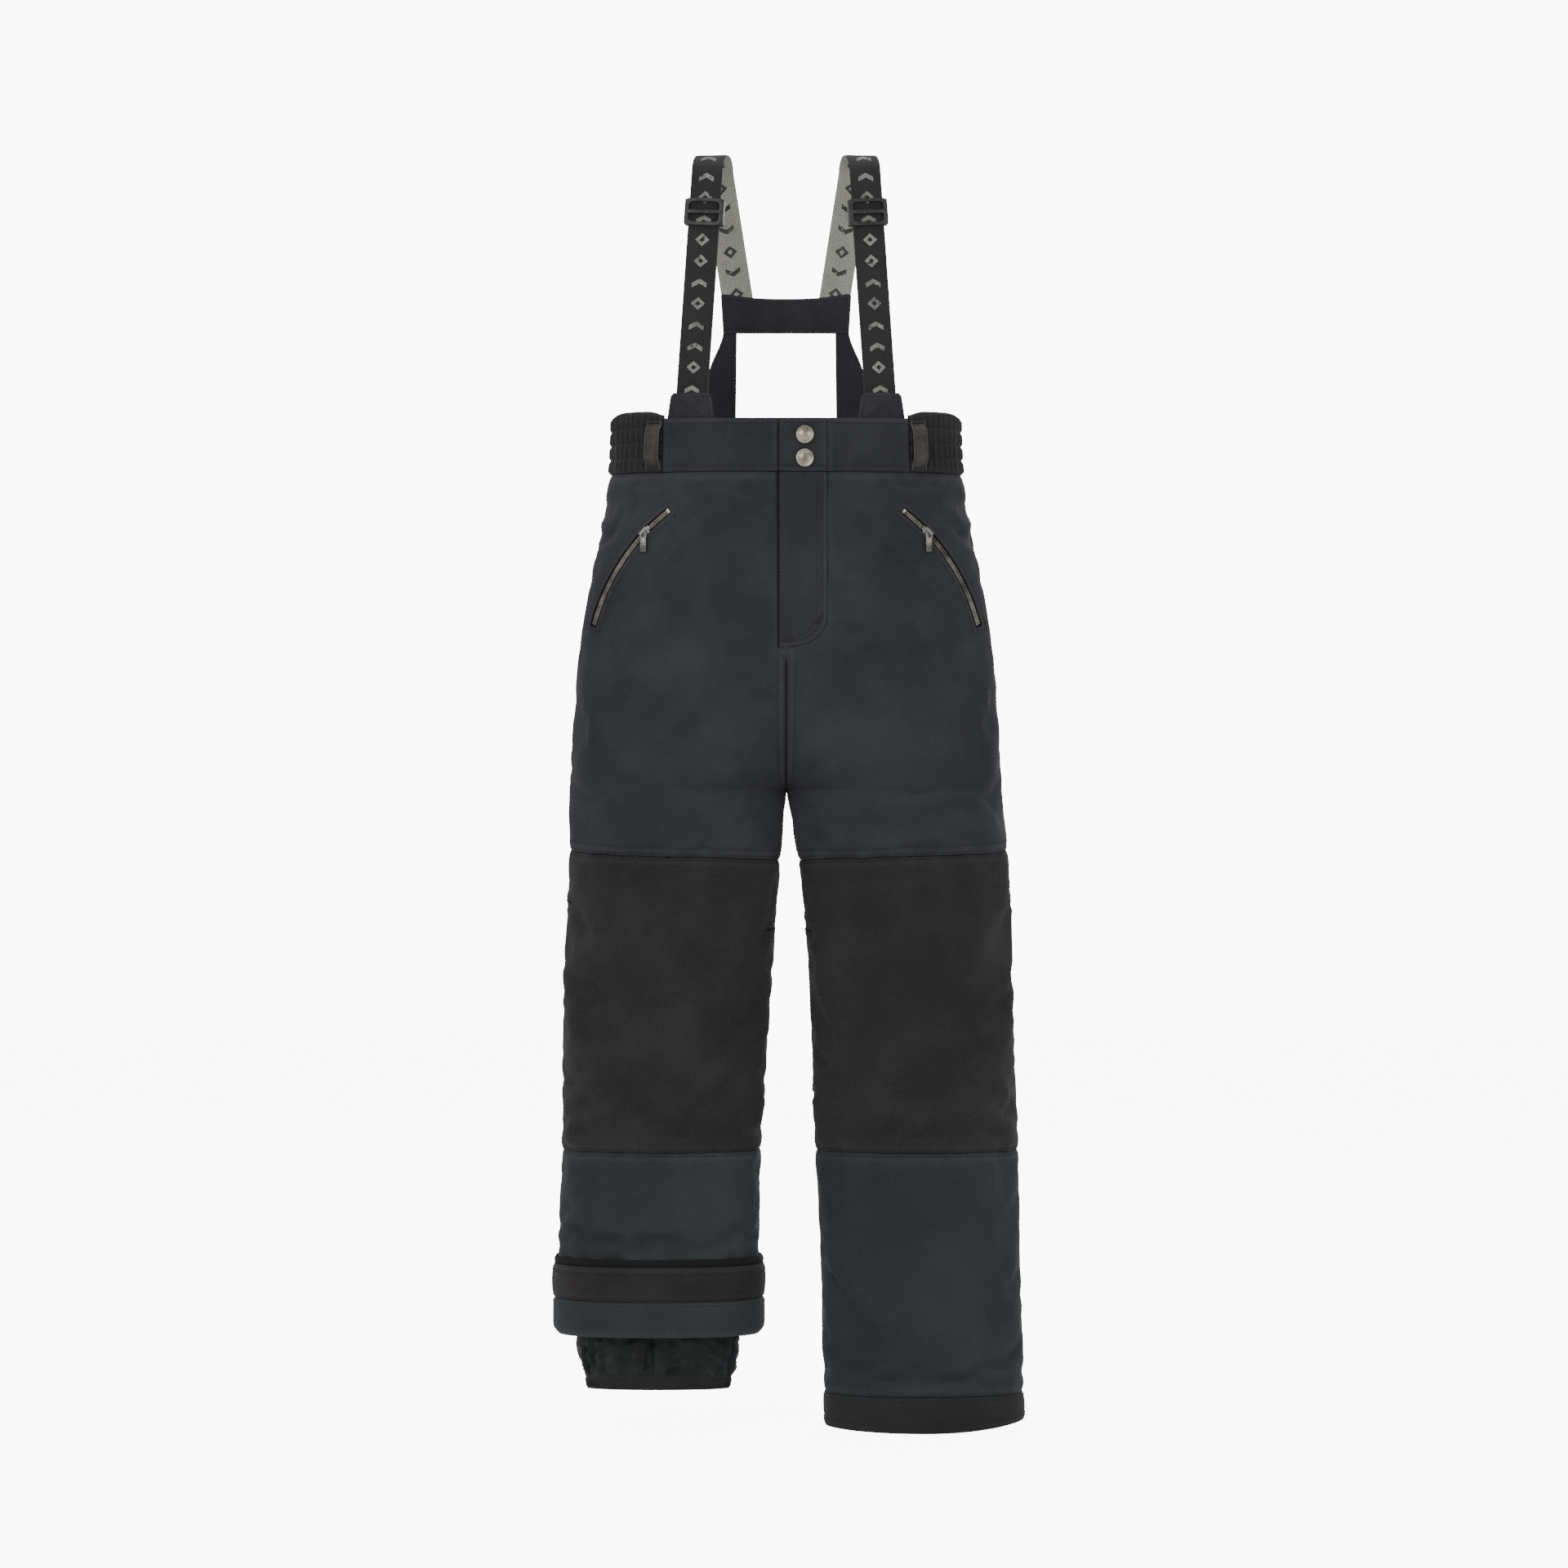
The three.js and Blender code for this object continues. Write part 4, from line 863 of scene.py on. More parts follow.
# Lets a coarse copy of the whole shell sag and crease, and returns how far each point moved.
def settleCloth():
    ends = {"left": body["hemTop"], "right": body["rolledEnd"]}
    points, holds, index, turnsOf = [], [], {}, {}
    for side in sideSign:
        heights = np.arange(body["waistSeam"], ends[side] - 0.1, -drape["cell"])
        for face in (-1, 1):
            turns = evenTurns(side, -640.0, face, 0, 1, drape["columns"])
            turnsOf[side, face] = turns
            grid = skin(side, heights[:, None], turns[None, :], face)
            ids = len(points) + np.arange(grid.shape[0] * grid.shape[1]).reshape(grid.shape[:2])
            x, z = grid[..., 0], grid[..., 2]
            hold = np.full(x.shape, drape["hold"])
            hold[:, 0] = hold[:, -1] = drape["seamHold"]
            knee = np.minimum(np.abs(z - body["kneeTop"]), np.abs(z - body["kneeBottom"]))
            hold = np.maximum(hold, 0.75 * bell(knee, 6))
            hold = np.maximum(hold, 1 - smooth((body["waistSeam"] - z - 4) / 16))
            low = -1050 if side == "left" else -942
            hold = np.maximum(hold, smooth((low - z) / 12))
            if face < 0:
                hold = np.maximum(hold, 1 - smooth((pocketDistance(grid) - 14) / 16))
                reach = np.maximum(np.maximum(-28 - x, x - 52), -446 - z)
                hold = np.maximum(hold, 1 - smooth(reach / 14))
            if face > 0:
                ids[:, 0] = index[side, -1][:, 0]
                below = heights < body["crotch"]
                ids[below, -1] = index[side, -1][below, -1]
            if side == "right":
                above = heights > body["crotch"]
                ids[above, -1] = index["left", face][:len(heights)][above, -1]
            points.extend(grid.reshape(-1, 3).tolist())
            holds.extend(hold.ravel().tolist())
            index[side, face] = ids
    faces = []
    for (side, face), ids in index.items():
        quads = np.stack([ids[:-1, :-1], ids[1:, :-1], ids[1:, 1:], ids[:-1, 1:]], -1).reshape(-1, 4)
        faces += (quads if face * sideSign[side] > 0 else quads[:, ::-1]).tolist()
    start = np.array(points)
    mesh = bpy.data.meshes.new("hangingShell")
    mesh.from_pydata((start / 1000).tolist(), [], faces)
    hanging = addObject("hangingShell", mesh)
    group = hanging.vertex_groups.new(name="hold")
    for i, weight in enumerate(holds):
        group.add([i], weight, "REPLACE")
    modifier = hanging.modifiers.new("cloth", "CLOTH")
    for key, value in {"quality": 5, "mass": 0.25, "tension_stiffness": 18, "compression_stiffness": 18,
                       "shear_stiffness": 8, "bending_stiffness": 0.9, "air_damping": 4,
                       "vertex_group_mass": "hold", "pin_stiffness": 1.0, "shrink_min": -drape["growth"],
                       "use_pressure": True, "uniform_pressure_force": drape["pressure"]}.items():
        setattr(modifier.settings, key, value)
    modifier.collision_settings.use_collision = False
    modifier.point_cache.frame_start, modifier.point_cache.frame_end = 1, drape["frames"]
    scene = bpy.context.scene
    for step in range(1, drape["frames"] + 1):
        scene.frame_set(step)
    graph = bpy.context.evaluated_depsgraph_get()
    settled = hanging.evaluated_get(graph).data
    went = np.empty(3 * len(settled.vertices))
    settled.vertices.foreach_get("co", went)
    went = went.reshape(-1, 3) * 1000 - start
    scene.frame_set(1)
    discard(hanging)
    size = np.linalg.norm(went, axis=1, keepdims=True)
    print("cloth moved up to", round(float(size.max()), 1), "mm, mean", round(float(size.mean()), 2))
    went *= drape["cap"] * np.tanh(size / drape["cap"]) / np.maximum(size, 1e-6)
    return {key: (went[ids], turnsOf[key]) for key, ids in index.items()}


shifts = settleCloth()
print("cloth settled")


def drapeShift(side, face, z, turn):
    if shifts is None:
        return np.zeros(np.shape(z) + (3,))
    grid, turns = shifts[side, face]
    row = (body["waistSeam"] - z) / drape["cell"]
    col = np.interp(turn, turns, np.arange(len(turns)))
    row = np.clip(row, 0, grid.shape[0] - 1.001)
    col = np.clip(col, 0, grid.shape[1] - 1.001)
    r, c = np.floor(row).astype(int), np.floor(col).astype(int)

    def weights(f):
        return [(-f + 2 * f ** 2 - f ** 3) / 2, (2 - 5 * f ** 2 + 3 * f ** 3) / 2,
                (f + 4 * f ** 2 - 3 * f ** 3) / 2, (f ** 3 - f ** 2) / 2]
    total = 0.0
    for i, wr in enumerate(weights(row - r)):
        for j, wc in enumerate(weights(col - c)):
            rr = np.clip(r + i - 1, 0, grid.shape[0] - 1)
            cc = np.clip(c + j - 1, 0, grid.shape[1] - 1)
            total = total + grid[rr, cc] * (wr * wc)[..., None]
    return total


# Relief of sewn, padded cloth

# Each crease runs from one point to another on the front or back: x from the centre line, z, width, depth
creases = {
    -1: [(3, -541, 62, -500, 7, 1.9), (5, -548, 92, -540, 8, 1.5), (9, -560, 76, -592, 7, 1.5),
         (14, -575, 60, -640, 9, 1.0), (150, -330, 172, -342, 6, 2.0), (128, -300, 168, -306, 6, 2.2),
         (20, -291, 92, -287, 5, 0.9), (60, -300, 112, -296, 6, 0.8), (150, -470, 120, -520, 14, 0.8)],
    1: [(3, -541, 70, -492, 8, 2.3), (5, -548, 100, -536, 9, 1.8), (9, -560, 84, -600, 8, 1.7),
        (40, -455, 120, -440, 12, 1.0), (20, -300, 110, -296, 6, 1.0), (100, -316, 160, -324, 6, 1.1),
        (30, -700, 120, -716, 9, 1.6), (60, -730, 150, -742, 10, 1.3)],
}
darts = [("outer", -646.0, 17.0), ("inner", -664.0, 22.0), ("inner", -812.0, 13.0)]


def seamGroove(d, along, seed, strength=1.0):
    trench = -1.1 * bell(d, 2.0) - 0.4 * bell(d, 7.0) + 0.3 * bell(d - 11, 6)
    pucker = 0.24 * noise(along / 9.0, 0.37 * seed, seed) * bell(d, 9.0)
    return strength * (trench + pucker)


def creaseRelief(side, face, x, z, seed):
    total = np.zeros(np.shape(x))
    for k, (x0, z0, x1, z1, width, depth) in enumerate(creases[face]):
        swing = 5 * float(noise(k * 1.7, sideSign[side] * 3.1, seed))
        x1, z1 = x1 + swing, z1 - 0.8 * swing
        length = math.hypot(x1 - x0, z1 - z0)
        ux, uz = (x1 - x0) / length, (z1 - z0) / length
        along = ((x - x0) * ux + (z - z0) * uz) / length
        away = -(x - x0) * uz + (z - z0) * ux + 3 * np.sin(3 * np.clip(along, 0, 1) + k)
        taper = smooth(along / 0.12 + 0.6) * smooth((1.15 - along) / 0.7)
        inside = (along > -0.2) & (along < 1.15)
        shape = -bell(away, width) + 0.7 * bell(away - 1.9 * width, 1.3 * width)
        total += np.where(inside, depth * taper * shape, 0)
    return total


def softField(q, z, seed):
    return 0.75 * noise(q / 58.0, z / 74.0, seed) + 0.32 * noise(q / 21.0, z / 27.0, seed + 1) \
        + 0.10 * noise(q / 8.0, z / 9.0, seed + 2)


def measure(grid):
    down = np.linalg.norm(np.diff(grid, axis=0), axis=2)
    along = np.linalg.norm(np.diff(grid, axis=1), axis=2)
    rows, cols = grid.shape[:2]
    fromTop = np.concatenate([np.zeros((1, cols)), np.cumsum(down, axis=0)])
    fromFirst = np.concatenate([np.zeros((rows, 1)), np.cumsum(along, axis=1)], axis=1)
    return {"first": fromFirst, "last": fromFirst[:, -1:] - fromFirst, "top": fromTop,
            "bottom": fromTop[-1:] - fromTop}


# One sewn panel between the side seam and the centre or inseam. topZ and bottomZ may follow the turn.
def clothPanel(name, side, face, topZ, bottomZ, material, seams, extra=None, centreOpen=None):
    first = skin(side, np.array([topZ(0.5), bottomZ(0.5)]), 0.5, face)
    middle = float(first[:, 2].mean())
    wide = float(pathRun(skin(side, middle, np.linspace(0, 1, 200), face))[-1])
    cols = int(round(wide / body["cell"])) + 1
    rows = int(round((topZ(0.5) - bottomZ(0.5)) / body["cell"])) + 1
    turns = evenTurns(side, middle, face, 0, 1, cols)[None, :]
    share = np.linspace(0, 1, rows)[:, None]
    turns = np.broadcast_to(turns, (rows, cols))
    z = between(topZ(turns), bottomZ(turns), share)
    base = skin(side, z, turns, face, 0, body["gap"])
    d = measure(base)
    sign = sideSign[side]
    seed = (11 if face < 0 else 31) + (0 if side == "left" else 5)
    calm = 0.3 + 0.7 * smooth(np.minimum(d["first"], d["last"]) / 34)
    relief = softField(sign * d["last"], z, 11 if face < 0 else 31) * calm
    relief += seamGroove(d["first"], z, seed + 1) * seams.get("first", 1.0)
    centre = seams.get("last", 1.0)
    if centreOpen is not None:
        centre = centre * smooth((centreOpen - z) / 8)
    relief += seamGroove(d["last"], z, seed + 2) * centre
    relief += seamGroove(d["top"], sign * d["last"], seed + 3) * seams.get("top", 1.0)
    relief += seamGroove(d["bottom"], sign * d["last"], seed + 4) * seams.get("bottom", 1.0)
    relief += creaseRelief(side, face, np.abs(base[..., 0]), z, seed)
    edge = sum(bell(d[k] - 3.2, 2.4) for k in ("first", "last", "top", "bottom"))
    if extra is not None:
        more, moreEdge = extra(base, d, z)
        relief, edge = relief + more, edge + moreEdge
    shift = drapeShift(side, face, z, turns) * calm[..., None]
    outer = skin(side, z, turns, face, relief, body["gap"]) + shift
    closed = (z > body["crotch"] - 1.2 * body["cell"]) * (1 - smooth(d["last"] / 14))
    outer[..., 0] = outer[..., 0] * (1 - closed) + (base[..., 0] - base[:, -1:, 0] - 0.2 * sign) * closed
    inner = skin(side, z, turns, face, 0.5 * relief - body["shell"], body["gap"]) + shift
    uv = np.stack([d["last"], d["top"]], -1)
    piece = slab(name, outer, inner, material, uv=uv, edge=np.clip(edge, 0, 1))
    return dict(turnedTo(outer, (0, face, 0)), object=piece, d=d)


# A path a fixed distance in from one of a panel's edges, without what is skipped at either end.
def alongEdge(panel, key, distance, skipStart=0.0, skipEnd=0.0):
    down = key in ("first", "last")
    grids = {k: grid if down else grid.T for k, grid in panel["d"].items()}
    d = grids[key]
    steps = np.arange(d.shape[1])
    way = 1 if key in ("first", "top") else -1
    at = np.array([np.interp(distance, line[::way], steps[::way]) for line in d])
    start, end = (grids[k][:, d.shape[1] // 2] for k in (("top", "bottom") if down else ("first", "last")))
    keep = (start >= skipStart) & (end >= skipEnd)
    run = np.arange(len(d), dtype=float)[keep]
    return onPanel(panel, run, at[keep]) if down else onPanel(panel, at[keep], run)


def onPanel(panel, row, col, raised=0.22):
    points = sampleGrid(panel["outer"], row, col)
    normal = sampleGrid(panel["normal"], row, col)
    normal /= np.linalg.norm(normal, axis=1, keepdims=True)
    return points + normal * raised, normal


# A straight path between two places of a grid, each a row and a column.
def lineOn(panel, row, col, endRow, endCol, count):
    return onPanel(panel, np.linspace(row, endRow, count), np.linspace(col, endCol, count))


# A path over a panel through given x and z values.
def throughPoints(panel, x, z):
    outer = panel["outer"]
    rows, cols = outer.shape[:2]
    found = []
    col = cols / 2
    for px, pz in zip(x, z):
        for _ in range(4):
            low = int(min(max(col, 0), cols - 1))
            row = float(np.interp(-pz, -outer[:, low, 2], np.arange(rows)))
            line = np.abs(sampleGrid(outer, np.full(cols, row), np.arange(cols, dtype=float))[:, 0])
            col = float(np.interp(-abs(px), -line, np.arange(cols)))
        found.append((row, col))
    found = np.array(found)
    return onPanel(panel, found[:, 0], found[:, 1])


def sew(name, paths, kind, side=None, settings=None, thread=None):
    run = makeRun(name, paths, stitchTree, settings or stitch, thread or threadDark)
    bendWith(run, kind, side)
    return run


# Painted shade: a line of near-black thread laid along a seam where its shadow gap falls
def shadowLine(name, paths, kind, side=None):
    return sew(name, paths, kind, side, shadeLineStitch, paintedShadeThread)


def declare(piece, kind, side, nodes):
    bendWith(piece, kind, side)
    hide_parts(*nodes)


def declareSheet(piece, grid, kind, side, nodes):
    declare(piece, kind, side, nodes)


# Shell panels

# Each extra returns more relief and more edge wear.
def frontExtra(base, d, z):
    away = pocketDistance(base)
    lip = 0.7 * bell(away - 5.2, 2.4) - 0.8 * bell(away - 9.2, 1.6) - 0.5 * bell(away, 20)
    flyAway = flyDistance(base[..., 0], z)
    groove = -1.3 * bell(flyAway, 2.2) - 0.4 * bell(flyAway, 8)
    under = -1.0 * bell(d["top"] - 9, 7) * smooth(noise(d["last"] / 17, z / 60, 71) + 0.4)
    worn = bell(away - 4.4, 1.6) + 0.8 * bell(flyAway - 2, 1.6)
    return lip + groove + under, worn


def kneeExtra(base, d, z):
    total = np.zeros(z.shape)
    for where, height, length in darts:
        near = d["first"] if where == "outer" else d["last"]
        reach = smooth((length - near) / 7)
        total += reach * (-2.4 * bell(z - height, 1.7) + 0.9 * bell(np.abs(z - height) - 6, 4))
    middle = bell(z + 735, 60) * smooth(d["first"] / 30) * smooth(d["last"] / 30)
    return total + 1.5 * middle, np.zeros(z.shape)


def seatExtra(base, d, z):
    under = -0.9 * bell(d["top"] - 9, 8) * smooth(noise(d["last"] / 14, z / 60, 83) + 0.4)
    return under, np.zeros(z.shape)


waistLine = flat(body["waistSeam"] - 0.3)
fronts = {}
flyHole = flyCutter("flyHole", 0.25)
for side in sideSign:

    def bottom(turn):
        return kneeEdge(turn) + 0.25
    front = clothPanel(f"frontPanel_{side}", side, -1, waistLine, bottom, shellCloth, {"top": 0.9, "last": 0.9},
                       frontExtra, centreOpen=body["flyEnd"])
    above, under = (np.stack(pocketArc(way * pocket["slot"] / 2, swing=0.012), -1) for way in (1, -1))
    outline = np.concatenate([above, under[::-1]])
    slot = prismObject("slotHole", outline.tolist(), -9, 7, pocketMatrix(side))
    cutAway(front["object"], [flyHole, slot])
    discard(slot)
    declare(front["object"], "hip", side, [f"front_panel_{side}"])
    below = body["waistSeam"] - body["flyEnd"] + 3
    paths = [alongEdge(front, *row) for row in (
        ("first", 2.6, 4, 4), ("bottom", 2.4, 3, 3), ("bottom", 8.0, 3, 3),
        ("last", 2.4, below, 4), ("last", 7.6, below + 4, 4))]
    for offset in (6.4, -6.4):
        u, v = pocketArc(offset, swing=0.02)
        world = onPocket(side, u, v, np.zeros_like(u))
        paths.append(throughPoints(front, world[:, 0], world[:, 2]))
    for swing in (0.020, 0.026):
        ends = []
        for angle in (arcStart + swing, arcEnd - swing):
            world = onPocket(side, *arcPoint(np.linspace(-6.4, 6.4, 12), angle), np.zeros(12))
            ends.append(throughPoints(front, world[:, 0], world[:, 2]))
        paths += ends
    sew(f"frontStitching_{side}", paths, "hip", side)

    seat = clothPanel(f"seatPanel_{side}", side, 1, waistLine, bottom, shellCloth, {"top": 0.9}, seatExtra)
    declare(seat["object"], "hip", side, [f"seat_panel_{side}"])
    paths = [alongEdge(seat, *row) for row in (("bottom", 2.4, 3, 3), ("last", 2.4, 4, 4), ("last", 7.6, 4, 8))]
    sew(f"seatStitching_{side}", paths, "hip", side)

    def top(turn):
        return kneeEdge(turn) - 0.25
    kneeLow = flat(body["kneeBottom"] + 0.25)
    knee = clothPanel(f"kneePatch_{side}", side, -1, top, kneeLow, kneeCloth, {}, kneeExtra)
    declare(knee["object"], "knee", side, [f"knee_panel_{side}"])
    paths = [alongEdge(knee, *row) for row in (
        ("bottom", 2.4, 2, 2), ("top", 2.6, 2, 2), ("first", 2.6, 4, 4), ("last", 2.6, 4, 4))]
    sew(f"kneeStitching_{side}", paths, "knee", side)
    # Painted shade: a short near-black thread line along each dart, where the dart's fold casts its shadow
    dartShadeRuns = []
    for where, height, length in darts:
        row = (kneeEdge(0.5) - height) / (kneeEdge(0.5) - body["kneeBottom"]) * (knee["outer"].shape[0] - 1)
        reach = length / knee["d"]["last"][0, 0] * (knee["outer"].shape[1] - 1)
        cols = np.linspace(0.4, reach, 16)
        cols = cols if where == "outer" else knee["outer"].shape[1] - 1 - cols
        dartShadeRuns.append(onPanel(knee, row + np.linspace(0, 0.35, 16), cols, 0.1))
    shadowLine(f"kneeDartShade_{side}", dartShadeRuns, "knee", side)
    back = clothPanel(f"backKneePanel_{side}", side, 1, top, kneeLow, shellCloth, {"bottom": 0.7})
    declare(back["object"], "knee", side, [f"back_knee_panel_{side}"])
    sew(f"backKneeStitching_{side}", [alongEdge(back, "bottom", 2.4, 2, 2)], "knee", side)

    shinTop = flat(body["kneeBottom"] - 0.25)
    shinLow = flat(body["hemTop"] + 0.25 if side == "left" else body["rolledEnd"] + 1.0)
    shin = clothPanel(f"shinPanel_{side}", side, -1, shinTop, shinLow, shinCloth, {})
    declare(shin["object"], "shin", side, [f"shin_panel_{side}"])
    calf = clothPanel(f"calfPanel_{side}", side, 1, shinTop, shinLow, shinCloth, {})
    declare(calf["object"], "shin", side, [f"calf_panel_{side}"])
    paths = [alongEdge(shin, "first", 2.6, 3, 3)] + [alongEdge(panel, "top", 2.6, 2, 2) for panel in (shin, calf)]
    sew(f"shinStitching_{side}", paths, "shin", side)
    fronts[side] = front
    print("panels sewn,", side)


# Strips and rings that follow the body

# turn runs from -1 at the front centre through the side seam to 1 at the back centre.
def signedPoint(side, z, turn, offset=0.0):
    z, turn, offset = np.broadcast_arrays(np.asarray(z, float), turn, offset)
    return np.where((turn < 0)[..., None], skin(side, z, np.abs(turn), -1, offset),
                    skin(side, z, np.abs(turn), 1, offset))


# Evenly spaced columns along one or more runs, each a side with a first and last turn.
def evenColumns(parts, z, cell, ring=False):
    sides, turns, line = [], [], []
    for side, first, last in parts:
        fine = np.linspace(first, last, 500)
        line.append(signedPoint(side, z, fine))
        sides += [side] * 500
        turns.append(fine)
    line, turns = np.concatenate(line), np.concatenate(turns)
    run = pathRun(line)
    count = max(int(round(run[-1] / cell)), 4)
    marks = np.linspace(0, run[-1], count + 1)
    marks = marks[:-1] if ring else marks
    pick = np.minimum(np.searchsorted(run, marks), len(turns) - 1)
    sides = np.array(sides)
    found = turns[pick].copy()
    for i, (mark, k) in enumerate(zip(marks, pick)):
        if k > 0 and sides[k] == sides[k - 1]:
            span = max(run[k] - run[k - 1], 1e-9)
            found[i] = turns[k - 1] + (turns[k] - turns[k - 1]) * (mark - run[k - 1]) / span
    return sides[pick], found, marks


def stripPoints(sides, turns, z, offset):
    made = np.zeros(z.shape + (3,))
    for side in sideSign:
        mask = sides == side
        if mask.any():
            made[:, mask] = signedPoint(side, z[:, mask], turns[None, mask], offset[:, mask])
    return made


def outwardNormals(grid):
    normal = gridNormals(grid)
    middle = grid.mean(axis=1, keepdims=True)
    flip = np.sign(np.einsum("ijk,ijk->ij", normal, grid - middle).mean()) or 1.0
    return normal * flip


# A strip or ring. topZ and bottomZ take the columns' turns; reliefOf takes the run, the way down and the height.
def clothStrip(name, parts, topZ, bottomZ, cell, outerOffset, innerOffset, material, ring=False, reliefOf=None):
    middle = float(np.mean(topZ(np.zeros(1))) + np.mean(bottomZ(np.zeros(1)))) / 2
    sides, turns, run = evenColumns(parts, middle, cell, ring)
    rows = max(int(round(abs(float(topZ(np.zeros(1))[0] - bottomZ(np.zeros(1))[0])) / cell)), 4) + 1
    share = np.linspace(0, 1, rows)[:, None]
    high, low = topZ(turns), bottomZ(turns)
    z = between(high, low, share)
    down = (high - low) * share
    runs = np.broadcast_to(run, z.shape)
    outer0 = outerOffset(z, down) if callable(outerOffset) else np.full(z.shape, float(outerOffset))
    inner0 = innerOffset(z, down) if callable(innerOffset) else np.full(z.shape, float(innerOffset))
    relief = reliefOf(runs, down, high - low) if reliefOf else np.zeros(z.shape)
    outer = stripPoints(sides, turns, z, outer0 + relief)
    inner = stripPoints(sides, turns, z, inner0 + 0.6 * relief)
    edge = bell(down - 2.2, 1.6) + bell((high - low) - down - 2.2, 1.6)
    piece = slab(name, outer, inner, material, uv=np.stack([runs, down], -1), edge=np.clip(edge, 0, 1), ring=ring)
    closed = np.concatenate([outer, outer[:, :1]], axis=1) if ring else outer
    return {"object": piece, "outer": closed, "normal": outwardNormals(closed)}


def levelRow(strip, share, first=0.0, last=1.0, raised=0.22):
    cols = strip["outer"].shape[1] - 1
    col = np.linspace(first, last, 3 * cols) * cols
    return onPanel(strip, np.full(len(col), share * (strip["outer"].shape[0] - 1)), col, raised)


def edgeRoll(down, tall, width=1.6, depth=1.0):
    return -depth * bell(down, width) - depth * bell(tall - down, width)


def quilted(run, down, tall):
    a, b = (run + down) / 36, (run - down) / 36
    channel = sum(bell((t - np.floor(t) - 0.5) * 36, 2.4) for t in (a, b))
    return 0.5 - 1.3 * np.minimum(channel, 1) + edgeRoll(down, tall, 2.0, 0.6)


# Hem, cuff, gaiters and linings

def hemBottom(turn):
    x = signedPoint("left", body["hem"], turn)[..., 0]
    t = (x - 119.5) / 86
    return body["hem"] + np.where(t > 0, 8.0, 3.0) * t * t


def hemRelief(run, down, tall):
    ripple = 0.35 * noise(run / 14, down / 20, 91)
    stitched = -0.7 * bell(down - tall + 7.5, 1.4) - 0.6 * bell(down - 3, 1.4)
    return ripple + stitched + edgeRoll(down, tall, 1.8, 1.3) + 0.5


hem = clothStrip("hemBand", [("left", -1, 1)], flat(body["hemTop"] - 0.25), hemBottom, 3.2, 0.6, -3.6,
                 hemCloth, True, hemRelief)
declare(hem["object"], "shin", "left", ["hem_band_left"])
sew("hemStitching", [levelRow(hem, 0.1), levelRow(hem, 0.76)], "shin", "left")

cuff = {"topZ": body["cuffTop"] + 1.5, "joinZ": -986.0, "bottomZ": -1017.0, "proud": 4.6, "inner": 1.0}


def facingRelief(run, down, tall):
    return 0.55 * noise(run / 19, down / 16, 93) + edgeRoll(down, tall, 1.8, 1.2) - 0.6 * bell(down - 5, 1.3) + 0.3


def cuffRelief(run, down, tall):
    return 0.5 * noise(run / 21, down / 16, 94) - 1.1 * bell(down, 1.6) \
        - 3.4 * smooth((down - tall + 9) / 9) ** 2 - 1.2 * smooth((down - tall + 3) / 3)


facing = clothStrip("cuffFacing", [("right", -1, 1)], flat(cuff["topZ"]), flat(cuff["joinZ"] + 0.2), 3.2,
                    lambda z, down: cuff["proud"] + 0.7 * np.sin(np.pi * down / 27), cuff["inner"],
                    facingCloth, True, facingRelief)
turnUp = clothStrip("cuffTurnUp", [("right", -1, 1)], flat(cuff["joinZ"] - 0.2), flat(cuff["bottomZ"]), 3.2,
                    lambda z, down: cuff["proud"] + 0.5 * np.sin(np.pi * down / 29), cuff["inner"],
                    shinCloth, True, cuffRelief)
# A near-black band just above the cuff's top edge: painted shade for the shadow gap there
cuffShadeBand = clothStrip("cuffShadowBand", [("right", -1, 1)], flat(cuff["topZ"] + 6.6), flat(cuff["topZ"] + 0.2), 1.3,
                     lambda z, down: 2.4 + 1.6 * np.sin(np.pi * down / 7.2), 0.4, paintedShadeThread, True)
declare(facing["object"], "shin", "right", ["rolled_cuff_right"])
declare(turnUp["object"], "shin", "right", [])
declare(cuffShadeBand["object"], "shin", "right", [])
sew("cuffStitching", [levelRow(facing, 0.18), levelRow(facing, 0.92), levelRow(turnUp, 0.1)], "shin", "right")

gaiter = {"offset": -12.7, "taper": 13.0, "rise": 62.0, "drop": 50.0, "elastic": 8.0, "fold": 3.0}


def gatherRelief(run, down, tall):
    share = down / tall
    amount = gaiter["fold"] * (0.25 + 0.75 * smooth((share - 0.35) / 0.5))
    tucks = noise(run / 6.5, down / 34, 95)
    pits = -bell(noise(run / 9.0, down / 21, 96) - 0.55, 0.25)
    slanted = noise((run + 1.3 * down) / 17, (down - 0.5 * run) / 8, 97)
    crumple = (1 - 2 * np.abs(slanted)) * (0.4 + 1.6 * smooth((share - 0.3) / 0.4))
    return (amount * (0.75 * tucks + 0.8 * pits) + crumple) * smooth((1 - share) / 0.09)


def elasticRibs(run, down, tall):
    ribs = 0.5 * np.sin(2 * np.pi * run / 3.1) * np.sin(np.pi * np.clip(down / tall, 0, 1))
    return ribs + edgeRoll(down, tall, 1, 0.6)


